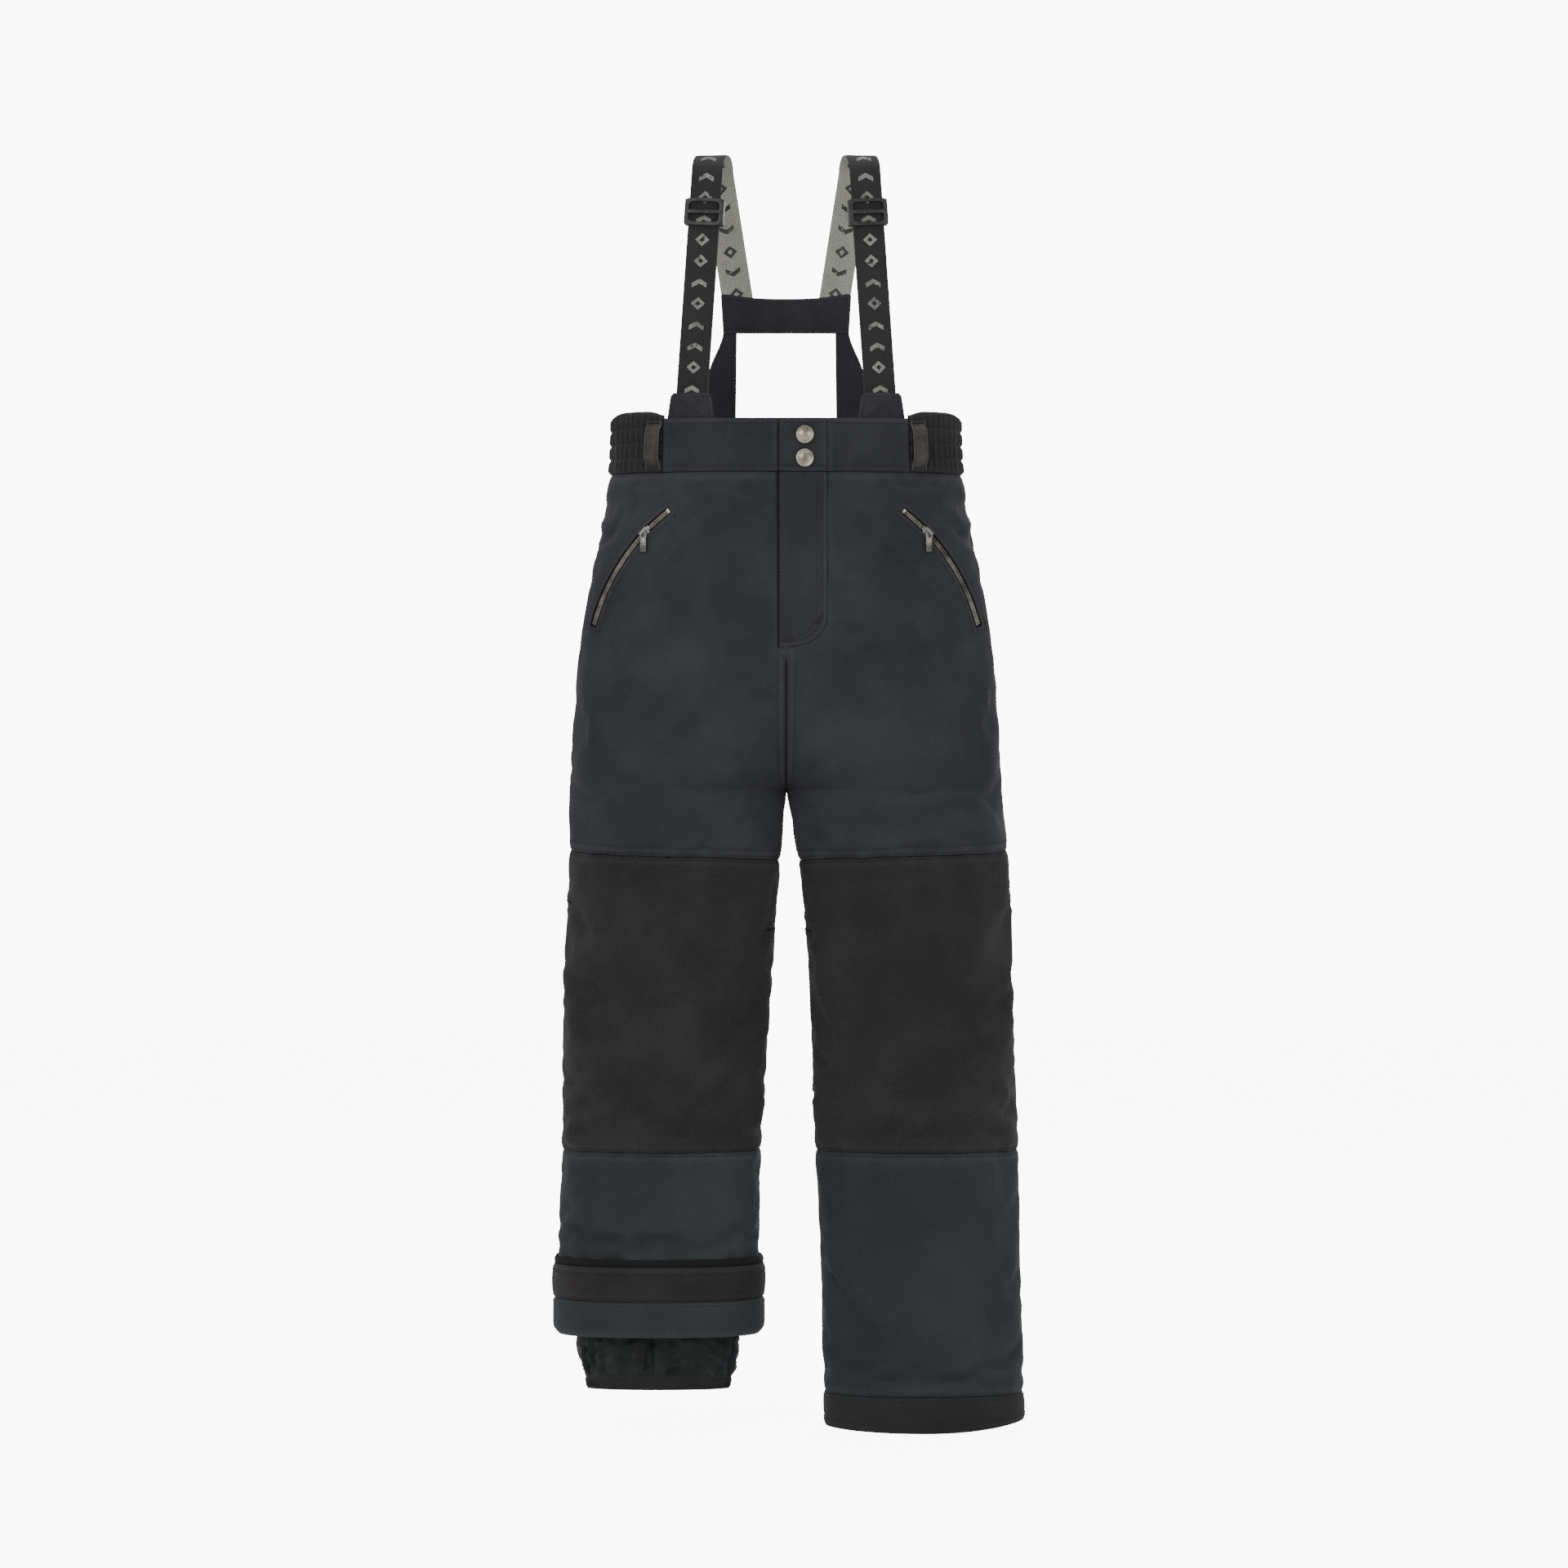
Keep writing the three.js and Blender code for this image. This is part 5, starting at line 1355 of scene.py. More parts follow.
for side in sideSign:
    low = -1065.0 if side == "right" else -1078.0
    high = low + gaiter["rise"] + gaiter["drop"]

    def gaiterOffset(z, down, high=high, low=low):
        share = (high - z) / (high - low)
        return gaiter["offset"] - gaiter["taper"] * share + 3.2 * np.sin(np.pi * smooth((share - 0.4) / 0.62))
    whole = [(side, -1, 1)]
    nylon = clothStrip(f"snowGaiter_{side}", whole, flat(high), flat(low + gaiter["elastic"] - 0.5), 2.6,
                       gaiterOffset, lambda z, down: gaiterOffset(z, down) - 1.2, gaiterCloth, True, gatherRelief)
    declareSheet(nylon["object"], nylon["outer"], "shin", side,
                 [f"snow_gaiter_{side}"])
    elastic = clothStrip(f"gaiterElastic_{side}", whole, flat(low + gaiter["elastic"] + 1.0), flat(low), 1.6,
                         lambda z, down: gaiterOffset(z, down) + 0.8, lambda z, down: gaiterOffset(z, down) - 1.8,
                         elasticCloth, True, elasticRibs)
    declare(elastic["object"], "shin", side, [f"gaiter_elastic_{side}"])
    sew(f"gaiterStitching_{side}", [levelRow(elastic, 0.25), levelRow(elastic, 0.75)], "shin", side)
    anchor = body["hemTop"] if side == "left" else body["rolledEnd"]
    for name, high, low, behind, kind in (("shin", -773.2, anchor + 34, "calf", "shin"),
                                          ("thigh", -625, -698.2, "back_knee", f"thigh_{side}")):
        lining = clothStrip(f"{name}Lining_{side}", whole, flat(high), flat(low), 5.0, -9, -10.2, liningCloth,
                            True, quilted)
        declareSheet(lining["object"], lining["outer"], kind, side,
                     [f"{name}_lining_{side}"])
    bag = clothStrip(f"pocketBag_{side}", [(side, -0.78, -0.3)], flat(-287), flat(-477), 5.0, -7.0, -8.0,
                     liningCloth, False, lambda run, down, tall: 0.5 * noise(run / 20, down / 25, 98) - 0.3)
    declareSheet(bag["object"], bag["outer"], "root", None,
                 [f"pocket_bag_{side}"])

seatLining = clothStrip("seatLining", [("left", -1, 1), ("right", 1, -1)], flat(-280), flat(-490), 5.0,
                        -10.5, -11.7, liningCloth, True, quilted)
liningCutter = flyCutter("liningCutter", 14.0)
cutAway(seatLining["object"], [liningCutter])
discard(liningCutter)
declare(seatLining["object"], "root", None, ["seat_lining"])
print("hems, gaiters and linings done")


# Waistband

band = {"proud": 1.0, "inner": -4.0, "frontTurn": 0.55, "backTurn": 0.5, "channels": 4, "rib": 5.6, "cell": 2.6}


def bandRelief(run, down, tall):
    pad = 0.9 * (1 - np.abs(2 * down / tall - 1) ** 4)
    rows = -0.7 * bell(down - 4.2, 1.3) - 0.7 * bell(tall - down - 4.2, 1.3)
    return pad + rows + edgeRoll(down, tall, 1.7, 1.3) + 0.35 * noise(run / 13, down / 26, 61)


def gatheredRelief(run, down, tall):
    lane = down / tall * band["channels"]
    pinch = bell((lane - np.round(lane)) * tall / band["channels"], 1.5)
    wave = np.sin(2 * np.pi * run / band["rib"] + 1.6 * noise(run / 11, down / 30, 62))
    return (1 - pinch) * (0.6 + 0.85 * wave) - 0.7 * pinch + edgeRoll(down, tall, 1.4, 0.8)


def elasticTop(turn):
    nearFront = bell(turn + band["frontTurn"], 0.05)
    return body["sideTop"] - 3.5 * nearFront - 4.5 * bell(turn, 0.16)


# The front waistband of one side, from a given x to the elastic.
def frontBandGrid(side, x0):
    cell = band["cell"]
    z1 = np.linspace(body["bandTop"], body["waistSeam"] + 0.3, int(46 / cell) + 1)
    end = np.abs(skin(side, z1, np.full(z1.shape, band["frontTurn"]), -1)[:, 0])
    count = int((end.mean() - x0) / cell) + 1
    t = np.linspace(0, 1, count)[None, :]
    x = between(x0, end[:, None] - 0.3, t)
    return sideSign[side] * x, np.broadcast_to(z1[:, None], x.shape)


def patchStrip(name, x, z, material, outerOffset, innerOffset, relief, edge=None):
    outer = patchPoint(x, z, outerOffset + relief)
    inner = patchPoint(x, z, innerOffset + 0.5 * relief)
    d = measure(outer)
    if edge is None:
        edge = sum(bell(d[k] - 2.2, 1.6) for k in ("top", "bottom", "first", "last"))
    piece = slab(name, outer, inner, material, uv=np.stack([x, -z], -1), edge=np.clip(edge, 0, 1))
    return dict(turnedTo(outer, (0, -1, 0)), object=piece, d=d)


for side, x0 in (("left", 35.25), ("right", 7.25)):
    x, z = frontBandGrid(side, x0)
    down = body["bandTop"] - z
    fromEnd = np.abs(x) - x0
    relief = bandRelief(x, down, 46.0) - 1.1 * bell(fromEnd, 1.6)
    made = patchStrip(f"waistbandFront_{side}", x, z, bandCloth, band["proud"], band["inner"], relief)
    declare(made["object"], "root", None, [f"waistband_front_{side}"])
    sew(f"waistbandFrontStitching_{side}", [levelRow(made, 0.09), levelRow(made, 0.91)], "root")
    ribbed = clothStrip(f"sideElastic_{side}", [(side, 0.004 - band["frontTurn"], band["backTurn"] - 0.004)],
                        elasticTop, flat(body["waistSeam"] + 0.3), 1.5, band["proud"], band["inner"], elasticCloth,
                        False, gatheredRelief)
    declare(ribbed["object"], "root", None, [f"side_elastic_{side}"])
    sew(f"sideElasticStitching_{side}", [levelRow(ribbed, k / 4, raised=0.3) for k in (1, 2, 3)]
        + [levelRow(ribbed, 0.04), levelRow(ribbed, 0.96)], "root")

backBand = clothStrip("waistbandBack", [("left", band["backTurn"], 1), ("right", 1, band["backTurn"])],
                      flat(body["sideTop"]), flat(body["waistSeam"] + 0.3), band["cell"], band["proud"],
                      band["inner"], bandCloth, False, bandRelief)
declare(backBand["object"], "root", None, ["waistband_back"])
sew("waistbandBackStitching", [levelRow(backBand, 0.08), levelRow(backBand, 0.92)], "root")


# Fly

snap = {"x": 16.0, "drops": (14.5, 34.5)}
snapZs = [body["bandTop"] - drop for drop in snap["drops"]]


def frontAt(x, z):
    return float(frontDepth("left", np.array(float(x)), np.array(float(z))))


tabX, tabZ = np.meshgrid(np.linspace(fly["edge"], fly["hinge"], 24), np.linspace(body["bandTop"], -276.7, 26))
fromSides = np.minimum(tabX - fly["edge"], fly["hinge"] - tabX)
dimples = sum(-1.1 * bell(np.hypot(tabX - snap["x"], tabZ - z) - 8, 3) for z in snapZs)
tabRelief = bandRelief(tabX, body["bandTop"] - tabZ, 45.7) - 1.0 * bell(fromSides, 1.6) + dimples
tab = patchStrip("waistbandTab", tabX, tabZ, bandCloth, band["proud"], -3.5, tabRelief)
declare(tab["object"], "flap", None, ["waistband_tab"])
sew("waistbandTabStitching", [levelRow(tab, 0.09), levelRow(tab, 0.91), lineOn(tab, 1, 1.3, 24, 1.3, 40)], "flap")

placketPlan = {"left": -11.0, "right": 39.0, "top": -277.3, "bottom": -432.0, "cols": 26, "rows": 60}
placketX, placketZ = np.meshgrid(np.linspace(placketPlan["left"], placketPlan["right"], placketPlan["cols"]),
                                 np.linspace(placketPlan["top"], placketPlan["bottom"], placketPlan["rows"]))
flyAway = flyDistance(placketX, placketZ)
placketRelief = softField(placketX, placketZ, 11) - 1.3 * bell(flyAway, 2.0) \
    - 0.5 * bell(flyAway - 4.2, 1.5) + 0.5 * bell(flyAway - 8, 3) - 1.2 * bell(placketZ - placketPlan["top"], 2)
placket = patchStrip("flyPlacket", placketX, placketZ, shellCloth, 0.35, -3.0, placketRelief,
                     edge=bell(flyAway - 2.2, 1.6))
flyCore = flyCutter("flyCore", 0.0)
cutAway(placket["object"], [flyCore], "INTERSECT")
discard(flyCore, flyHole)
declare(placket["object"], "flap", None, ["fly_placket"])


def onPlacket(x, z):
    plan = placketPlan
    row = (plan["top"] - np.asarray(z)) / (plan["top"] - plan["bottom"]) * (plan["rows"] - 1)
    col = (np.asarray(x) - plan["left"]) / (plan["right"] - plan["left"]) * (plan["cols"] - 1)
    return onPanel(placket, row, col)


placketRuns = []
for inset in (4.2, 8.6):
    curve = flyOutline(-inset)[1:-1]
    rise = np.stack([np.full(30, fly["hinge"] - inset), np.linspace(curve[-1][1], -281, 30)], -1)
    line = np.concatenate([curve, rise[1:]])
    placketRuns.append(onPlacket(line[:, 0], line[:, 1]))
placketRuns.append(onPlacket(np.full(40, fly["edge"] + 2.6), np.linspace(-280, -422, 40)))
sew("flyStitching", placketRuns, "flap")
# Painted shade: near-black thread lines along the fly's edge, the tab's edge and the centre seams, where shadow
# gaps fall
shadowLine("flyShadow", [onPlacket(np.full(80, fly["edge"] + 0.7), np.linspace(-278, -426, 80))], "flap")
shadowLine("tabShadow", [lineOn(tab, 0.5, 0.25, 24.5, 0.25, 40)], "flap")
for side in sideSign:
    shadowLine(f"centreShadow_{side}", [alongEdge(fronts[side], "last", 0.35, 158, 58)], "hip", side)
bartack = dict(stitch, Pitch=0.0009, Length=0.0011, Width=0.0026, Height=0.0011, Uneven=0.03)
tacks = [onPlacket(np.linspace(-3, 7, 12), np.full(12, -421.5)),
         onPlacket(np.linspace(25.5, 31, 12), np.linspace(-407, -399, 12))]
sew("flyBartacks", tacks, "flap", settings=bartack)

guard = {"from": -19.0, "to": 43.0, "underlap": -9.9}
flyZip = {"x": 4.0, "topZ": -281.0, "endZ": -433.0, "outer": -10.9}
flyTop, flyLow = frontAt(flyZip["x"], flyZip["topZ"]), frontAt(flyZip["x"], flyZip["endZ"])
flyTall = flyZip["topZ"] - flyZip["endZ"]
flyLean = math.atan2(flyLow - flyTop, flyTall)
flyRun = math.hypot(flyLow - flyTop, flyTall)
flyBow = frontAt(flyZip["x"], (flyZip["topZ"] + flyZip["endZ"]) / 2) - (flyTop + flyLow) / 2
guardOuter = flyZip["outer"] - 0.9 - 0.7 - flyBow
guardX, guardZ = np.meshgrid(np.linspace(guard["from"], guard["to"], 20), np.linspace(-231.0, -439.0, 62))
settle = smooth((-274.5 - guardZ) / 4.5)
guardOffset = guard["underlap"] * (1 - settle) + guardOuter * settle
down = -231.0 - guardZ
guardRelief = -0.5 * bell(np.minimum(guardX - guard["from"], guard["to"] - guardX), 1.5) \
    - 0.4 * smooth(noise(guardX / 15, guardZ / 30, 64))
guardPiece = patchStrip("flyGuard", guardX, guardZ, bandCloth, guardOffset, guardOuter - 1.7, guardRelief)
declare(guardPiece["object"], "root", None, ["fly_guard"])

flyMatrix = Matrix.Translation((flyZip["x"], -flyTop, flyZip["topZ"])) @ Matrix.Rotation(-flyLean, 4, "X")


def inFly(x, y, z):
    m = np.array(flyMatrix)
    x, y, z = np.broadcast_arrays(np.asarray(x, float), y, z)
    return np.stack([x, y, z, np.ones_like(x)], -1) @ m.T[:, :3]


gx, gz = np.meshgrid(np.linspace(-11, 11, 13), np.linspace(0, -flyRun, 60))
flyTape = slab("flyTape", inFly(gx, 10.9 + 0.05 * np.cos(gx * 2), gz), inFly(gx, np.full(gx.shape, 11.8), gz),
               zipTapeCloth, uv=np.stack([gx, gz], -1))
declareSheet(flyTape, inFly(gx, 10.9 + 0 * gx, gz), "root", None, ["fly_zip"])
tooth = {"Pitch": 0.00125, "Length": 0.00105, "Width": 0.0026, "Height": 0.0017, "Turn": 0.18, "Uneven": 0.02}
flyFacing = np.array(flyMatrix)[:3, :3] @ np.array([0, -1, 0])
flyPaths = []
for shiftX, shiftZ in ((-1.1, -2.0), (1.1, -2.6)):
    line = inFly(np.full(80, shiftX), 10.1, np.linspace(shiftZ, 3 - flyRun, 80))
    flyPaths.append((line, np.tile(flyFacing, (80, 1))))
bendWith(makeRun("flyTeeth", flyPaths, toothTree, tooth, coilPlastic), "root")


# The slider's shoe: two shoulders, a roof and a bridge. along is +1 or -1, the end that narrows.
def sliderMeshes(width, length, low, high, place, along):
    middle = (low + high) / 2
    made = [softBox((width, length, 1.3), 0.45, moved(place, 0, 0, high - 0.65)),
            softBox((width * 0.62, length * 0.35, 1.3), 0.4, moved(place, 0, along * length * 0.58, high - 0.65))]
    for sign in (-1, 1):
        made.append(softBox((0.95, length, high - low), 0.3, moved(place, sign * (width / 2 - 0.48), 0, middle)))
        made.append(softBox((1.4, 1.4, 2.2), 0.4, moved(place, 0, sign * 2.4, high + 0.7)))
    made.append(softBox((1.5, 6.2, 1.1), 0.45, moved(place, 0, 0, high + 1.9)))
    return made


# A pull tab with an eye over the bridge and a moulded grip below.
def pullMeshes(length, level, place):
    eye = moved(place, 0, -2.0, level)
    made = [ringPlate(superLoop(6.4, 6.6, 3.0, 32), superLoop(3.6, 4.0, 3.0, 32), -0.6, 0.6, 0.25, eye)]
    grip = moved(place, 0, -5.0 - (length - 5.0) / 2, level)
    made.append(softBox((5.6, length - 4.0, 1.5), 0.6, grip))
    for k in range(3):
        made.append(softBox((4.4, 0.8, 2.1), 0.35, moved(grip, 0, 1.2 - 2.0 * k, 0)))
    return made


flySliderPlace = moved(flyMatrix, 0, 0, -9) @ Matrix.Rotation(math.pi / 2, 4, "X")
flySlider = joinMeshes("flySlider", sliderMeshes(7.2, 10, -10.5, -6.8, flySliderPlace, 1)
                       + pullMeshes(15, -6.0 + 1.2, flySliderPlace), zipMetal)
declare(flySlider, "fly_slider", None, ["fly_slider"])

snapSlope = (frontAt(snap["x"], snapZs[0] - 7.5) - frontAt(snap["x"], snapZs[0] + 7.5)) / 2
capBase, socketTop, socketBack = 1.3 + snapSlope, -3.8 - snapSlope, -7.9
capProfile = [(0, socketTop - 0.9), (2.9, socketTop - 0.9), (2.9, socketBack), (5.2, socketBack), (5.4, socketTop),
              (2.0, socketTop), (2.0, capBase), (7.3, capBase), (7.75, capBase + 0.3), (7.8, capBase + 0.8),
              (7.4, capBase + 1.25), (6.7, capBase + 1.4), (6.2, capBase + 1.2), (5.8, capBase + 1.0),
              (5.3, capBase + 1.1), (4.7, capBase + 1.6), (3.6, capBase + 2.05), (1.9, capBase + 2.35),
              (0, capBase + 2.45)]
for name, z in zip(("upper", "lower"), snapZs):
    place = Matrix(((1, 0, 0, snap["x"]), (0, 0, -1, -frontAt(snap["x"], z)), (0, 1, 0, z), (0, 0, 0, 1)))
    cap = joinMeshes(f"snapCap_{name}", [lathe(capProfile, place, 48)], snapMetal, 60)
    declare(cap, "fly_flap", None, [f"snap_cap_{name}"])
    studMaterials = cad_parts[f"snap_stud_{name}"].data.materials
    studMaterials.clear()
    studMaterials.append(snapMetal)
print("waistband and fly done")


# Pocket zips

for side in sideSign:
    place = pocketMatrix(side)
    facingOut = np.array(place)[:3, 2]
    offsets = np.linspace(-7, 7, 13)[None, :]
    angle = np.linspace(arcStart + 0.011, arcEnd - 0.011, 70)[:, None]
    u, v = arcPoint(offsets, angle)
    ripple = 0.06 * np.sin(offsets * 2.1) * np.ones_like(u)
    runs = np.stack([offsets * np.ones_like(u), (arcStart - angle) * pocket["radius"] * np.ones_like(u)], -1)
    tape = slab(f"pocketTape_{side}", onPocket(side, u, v, -3.45 + ripple), onPocket(side, u, v, -4.3 + 0 * u),
                zipTapeCloth, uv=runs)
    declareSheet(tape, onPocket(side, u, v, -3.45 + ripple), "root", None,
                 [f"pocket_zip_{side}"])
    restAngle = arcStart - pocket["restDistance"] / pocket["radius"]
    for name, first, last in (("lower", arcEnd, restAngle - 0.02), ("upper", restAngle + 0.02, arcStart)):
        teeth = []
        for offset, shift in ((-1.0, 0.0), (1.0, 0.0035)):
            sweep = np.linspace(first + shift, last, 60)
            line = onPocket(side, *arcPoint(offset, sweep), np.full(60, -2.35))
            teeth.append((line, np.tile(facingOut, (60, 1))))
        bendWith(makeRun(f"pocketTeeth_{name}_{side}", teeth, toothTree, tooth, coilPlastic), "root")
    stopAt = moved(place, *arcPoint(0.0, arcStart + 0.006), -1.9) @ Matrix.Rotation(arcStart, 4, "Z")
    stop = joinMeshes(f"pocketStop_{side}", [softBox((4.6, 3.4, 2.0), 0.6, stopAt)], snapMetal)
    bendWith(stop, "root")
    rest = moved(place, *arcPoint(0.0, restAngle), 0)
    turned = rest @ Matrix.Rotation(restAngle, 4, "Z")
    slider = joinMeshes(f"pocketSlider_{side}", sliderMeshes(6.6, 9, -3.0, 0.45, turned, 1), zipMetal)
    declare(slider, f"pocket_slider_{side}", None, [f"pocket_slider_{side}"])
    pull = joinMeshes(f"pocketPull_{side}", pullMeshes(16, 2.2, rest), zipMetal)
    declare(pull, f"pocket_pull_{side}", None, [f"pocket_pull_{side}"])
print("pocket zips done")


# Belt loops

loop = {"width": 13.0, "inset": 2.0, "frontTurn": -0.5, "backTurn": 0.64}


def beltLoop(name, side, turn, node):
    midZ, reachUp = -254.0, 23.0 - loop["inset"]

    def at(z, t, offset=1.0):
        return signedPoint(side, np.array(z), np.array(t), offset)
    seat = at(midZ, turn)
    up = at(midZ + reachUp, turn) - at(midZ - reachUp, turn)
    up /= np.linalg.norm(up)
    level = at(midZ, turn, 11.0) - seat
    across = np.cross(up, level)
    across /= np.linalg.norm(across)
    out = np.cross(across, up)
    reach = loop["width"] / 199.5
    highest = max(float(np.dot(at(midZ + a * reachUp, turn + b * reach) - seat, out)) for a in (-1, 0, 1)
                  for b in (-1, 0, 1))
    seat = seat + out * (highest + 0.4)
    half = [(0, 6.3), (9, 6.1), (13, 5.4), (14.8, 3.2), (16.3, 1.1), (18.5, 0.8), (21, 0.75)]
    marks = np.array([(-along, high) for along, high in half[:0:-1]] + half)
    t = np.linspace(0, len(marks) - 1, 46)
    s = np.interp(t, range(len(marks)), marks[:, 0])
    h = np.interp(t, range(len(marks)), marks[:, 1])
    h = np.convolve(np.pad(h, 2, mode="edge"), np.ones(5) / 5, mode="valid")
    w = np.linspace(-1, 1, 13)
    tangent = np.stack([np.gradient(s), np.gradient(h)], -1)
    tangent /= np.linalg.norm(tangent, axis=1, keepdims=True)
    thick = 0.75 - 0.35 * np.abs(w[None, :]) ** 6 + 0.12 * (1 - w[None, :] ** 2) + 0 * s[:, None]
    grids = []
    for sign in (1, -1):
        ss = s[:, None] - sign * thick * tangent[:, 1:2]
        hh = h[:, None] + sign * thick * tangent[:, :1]
        grids.append(seat + ss[..., None] * up + hh[..., None] * out
                     + (w[None, :, None] * loop["width"] / 2) * across + 0 * ss[..., None])
    run = pathRun(np.stack([s, h], -1))
    uv = np.stack(np.broadcast_arrays(w * 6.5, run[:, None]), -1)
    edge = np.clip(np.abs(w) ** 10, 0, 1)[None, :] * np.ones((46, 1))
    piece = slab(name, grids[0], grids[1], loopCloth, uv=uv, edge=edge)
    declareSheet(piece, grids[0], "root", None, [node])
    top = turnedTo(grids[0], out)
    sew(f"{name}Stitching", [lineOn(top, 1, c, 44, c, 60) for c in (1.6, 10.4)], "root")
    tacks = [lineOn(top, r, 1.5, r, 10.5, 16) for r in (2.4, 42.6)]
    sew(f"{name}Bartacks", tacks, "root", settings=bartack)


for side in sideSign:
    beltLoop(f"beltLoopFront_{side}", side, loop["frontTurn"], f"belt_loop_front_{side}")
    beltLoop(f"beltLoopBack_{side}", side, loop["backTurn"], f"belt_loop_back_{side}")
print("belt loops done")


# Shoulder straps

strap = {"width": 27.0, "thickness": 1.8, "waistX": 83.5, "frontTopX": 68.0, "backTopX": 59.0, "yokeX": 38.0,
         "radius": 18.0, "tuck": 19.0, "tabOuter": -4.7, "tabInner": -6.7, "adjusterDrop": 52.0}
strapBottomZ = body["bandTop"] - strap["tuck"]
strapTurnZ = -strap["radius"] - strap["thickness"] / 2
waistSlope = (frontAt(strap["waistX"] - 14, body["bandTop"]) - frontAt(strap["waistX"] + 14, body["bandTop"])) / 28
strapWaistY = -frontAt(strap["waistX"], body["bandTop"]) - strap["tabInner"] + 0.4 + strap["thickness"]
backTop = sectionAt("left", np.array(body["sideTop"]))
yokeBackY = float(superDepth(backTop, 76.0, backTop["back"])) + band["inner"] - 0.4
yokeFrontY = yokeBackY - 2.5
strapYokeZ = -147.0
yoke = {"halfWidth": 57.0, "topZ": -116.5, "bottomZ": -150.0, "dip": 5.0, "cornerRise": 1.5, "enterZ": -119.0}


def strapStations(side):
    sign, r = sideSign[side], strap["radius"]
    frontLean = math.atan2(-strapWaistY - r, strapTurnZ - strapBottomZ)
    backLean = math.atan2((yokeFrontY + yokeBackY) / 2 - r, strapTurnZ - yoke["enterZ"])
    points = [np.array([sign * strap["waistX"], strapWaistY, strapBottomZ])]
    steps = 10
    for i in range(steps + 1):
        angle = between(math.pi - frontLean, backLean, i / steps)
        share = float(smooth(i / steps))
        x = between(strap["frontTopX"], strap["backTopX"], share)
        points.append(np.array([sign * x, r * math.cos(angle), strapTurnZ + r * math.sin(angle)]))
    inYoke = (yokeFrontY + yokeBackY) / 2
    share = (strapTurnZ - yoke["enterZ"]) / (strapTurnZ - strapYokeZ)
    enterX = between(strap["backTopX"], strap["yokeX"], share)
    points.append(np.array([sign * enterX, inYoke, yoke["enterZ"]]))
    points.append(np.array([sign * strap["yokeX"], inYoke, strapYokeZ]))
    last = len(points) - 1
    stations = []
    for i, middle in enumerate(points):
        along = points[min(i + 1, last)] - points[max(i - 1, 0)]
        if i == 1:
            along = points[1] - points[0]
        if i == last - 2:
            along = points[last - 1] - points[last - 2]
        along = along / np.linalg.norm(along)
        twist = min(max((i - 1) / steps, 0), 1)
        across = np.array([1, sign * waistSlope * (1 - twist), 0])
        across = across - along * across.dot(along)
        across /= np.linalg.norm(across)
        stations.append((middle, across, -np.cross(across, along)))
    first = stations[1]
    outward = 1 if first[0][0] * first[2][0] + first[0][1] * first[2][1] > 0 else -1
    return [(m, a, outward * o) for m, a, o in stations]


def ribbonGrid(stations, halfWidth, low, high, cell=2.6, sway=0.0):
    run = pathRun(np.array([s[0] for s in stations]))
    marks = np.linspace(0, run[-1], int(run[-1] / cell) + 1)

    def along(k):
        values = np.array([s[k] for s in stations])
        return np.stack([np.interp(marks, run, values[:, j]) for j in range(3)], -1)
    middle, across, out = along(0), along(1), along(2)
    across /= np.linalg.norm(across, axis=1, keepdims=True)
    out /= np.linalg.norm(out, axis=1, keepdims=True)
    w = np.linspace(-1, 1, 15)[None, :, None]
    mid, half = (high + low) / 2, (high - low) / 2
    thin = half * (1 - 0.55 * np.abs(w) ** 12)
    bow = sway * (noise(marks / 26.0, 3.3, 66)[:, None, None] * smooth(marks / 60)[:, None, None]
                  * smooth((run[-1] - marks) / 40)[:, None, None])
    grids = [middle[:, None] + across[:, None] * w * halfWidth + out[:, None] * (mid + bow + sign * thin)
             for sign in (1, -1)]
    uv = np.stack(np.broadcast_arrays(w[..., 0] * halfWidth, marks[:, None]), -1)
    return grids[0], grids[1], uv


def twoFaced(piece, grid, reverse):
    piece.data.materials.append(reverse)
    count = (grid.shape[0] - 1) * (grid.shape[1] - 1)
    index = np.zeros(len(piece.data.polygons), dtype=np.int32)
    index[count:2 * count] = 1
    piece.data.polygons.foreach_set("material_index", index)


def adjusterMeshes(place, innerWidth, channelLow, channelHigh):
    tall, wall, rail = 24.0, 1.6, 3.2
    wide = innerWidth + 2 * rail
    outer = superLoop(wide, tall, 7.0, 64)
    window = superLoop(innerWidth - 1.5, tall - 2 * rail, 7.0, 64)
    made = [ringPlate(outer, window, channelHigh, channelHigh + wall, 0.5, place)]
    made.append(softBox((wide - 1.4, 3.4, 2.0), 0.85, moved(place, 0, 0, channelHigh + 1.0)))
    made.append(softBox((wide, tall - 1.0, wall), 0.7, moved(place, 0, 0, channelLow - wall / 2)))
    for sign in (-1, 1):
        made.append(softBox((rail, tall - 2.0, channelHigh - channelLow + 2 * wall - 0.4), 0.8,
                            moved(place, sign * (wide - rail) / 2, 0, (channelHigh + channelLow) / 2)))
    for k in (-1.1, 0, 1.1):
        made.append(softBox((innerWidth - 5, 0.5, 0.5), 0.15, moved(place, 0, k, channelHigh + 2.0)))
    return made


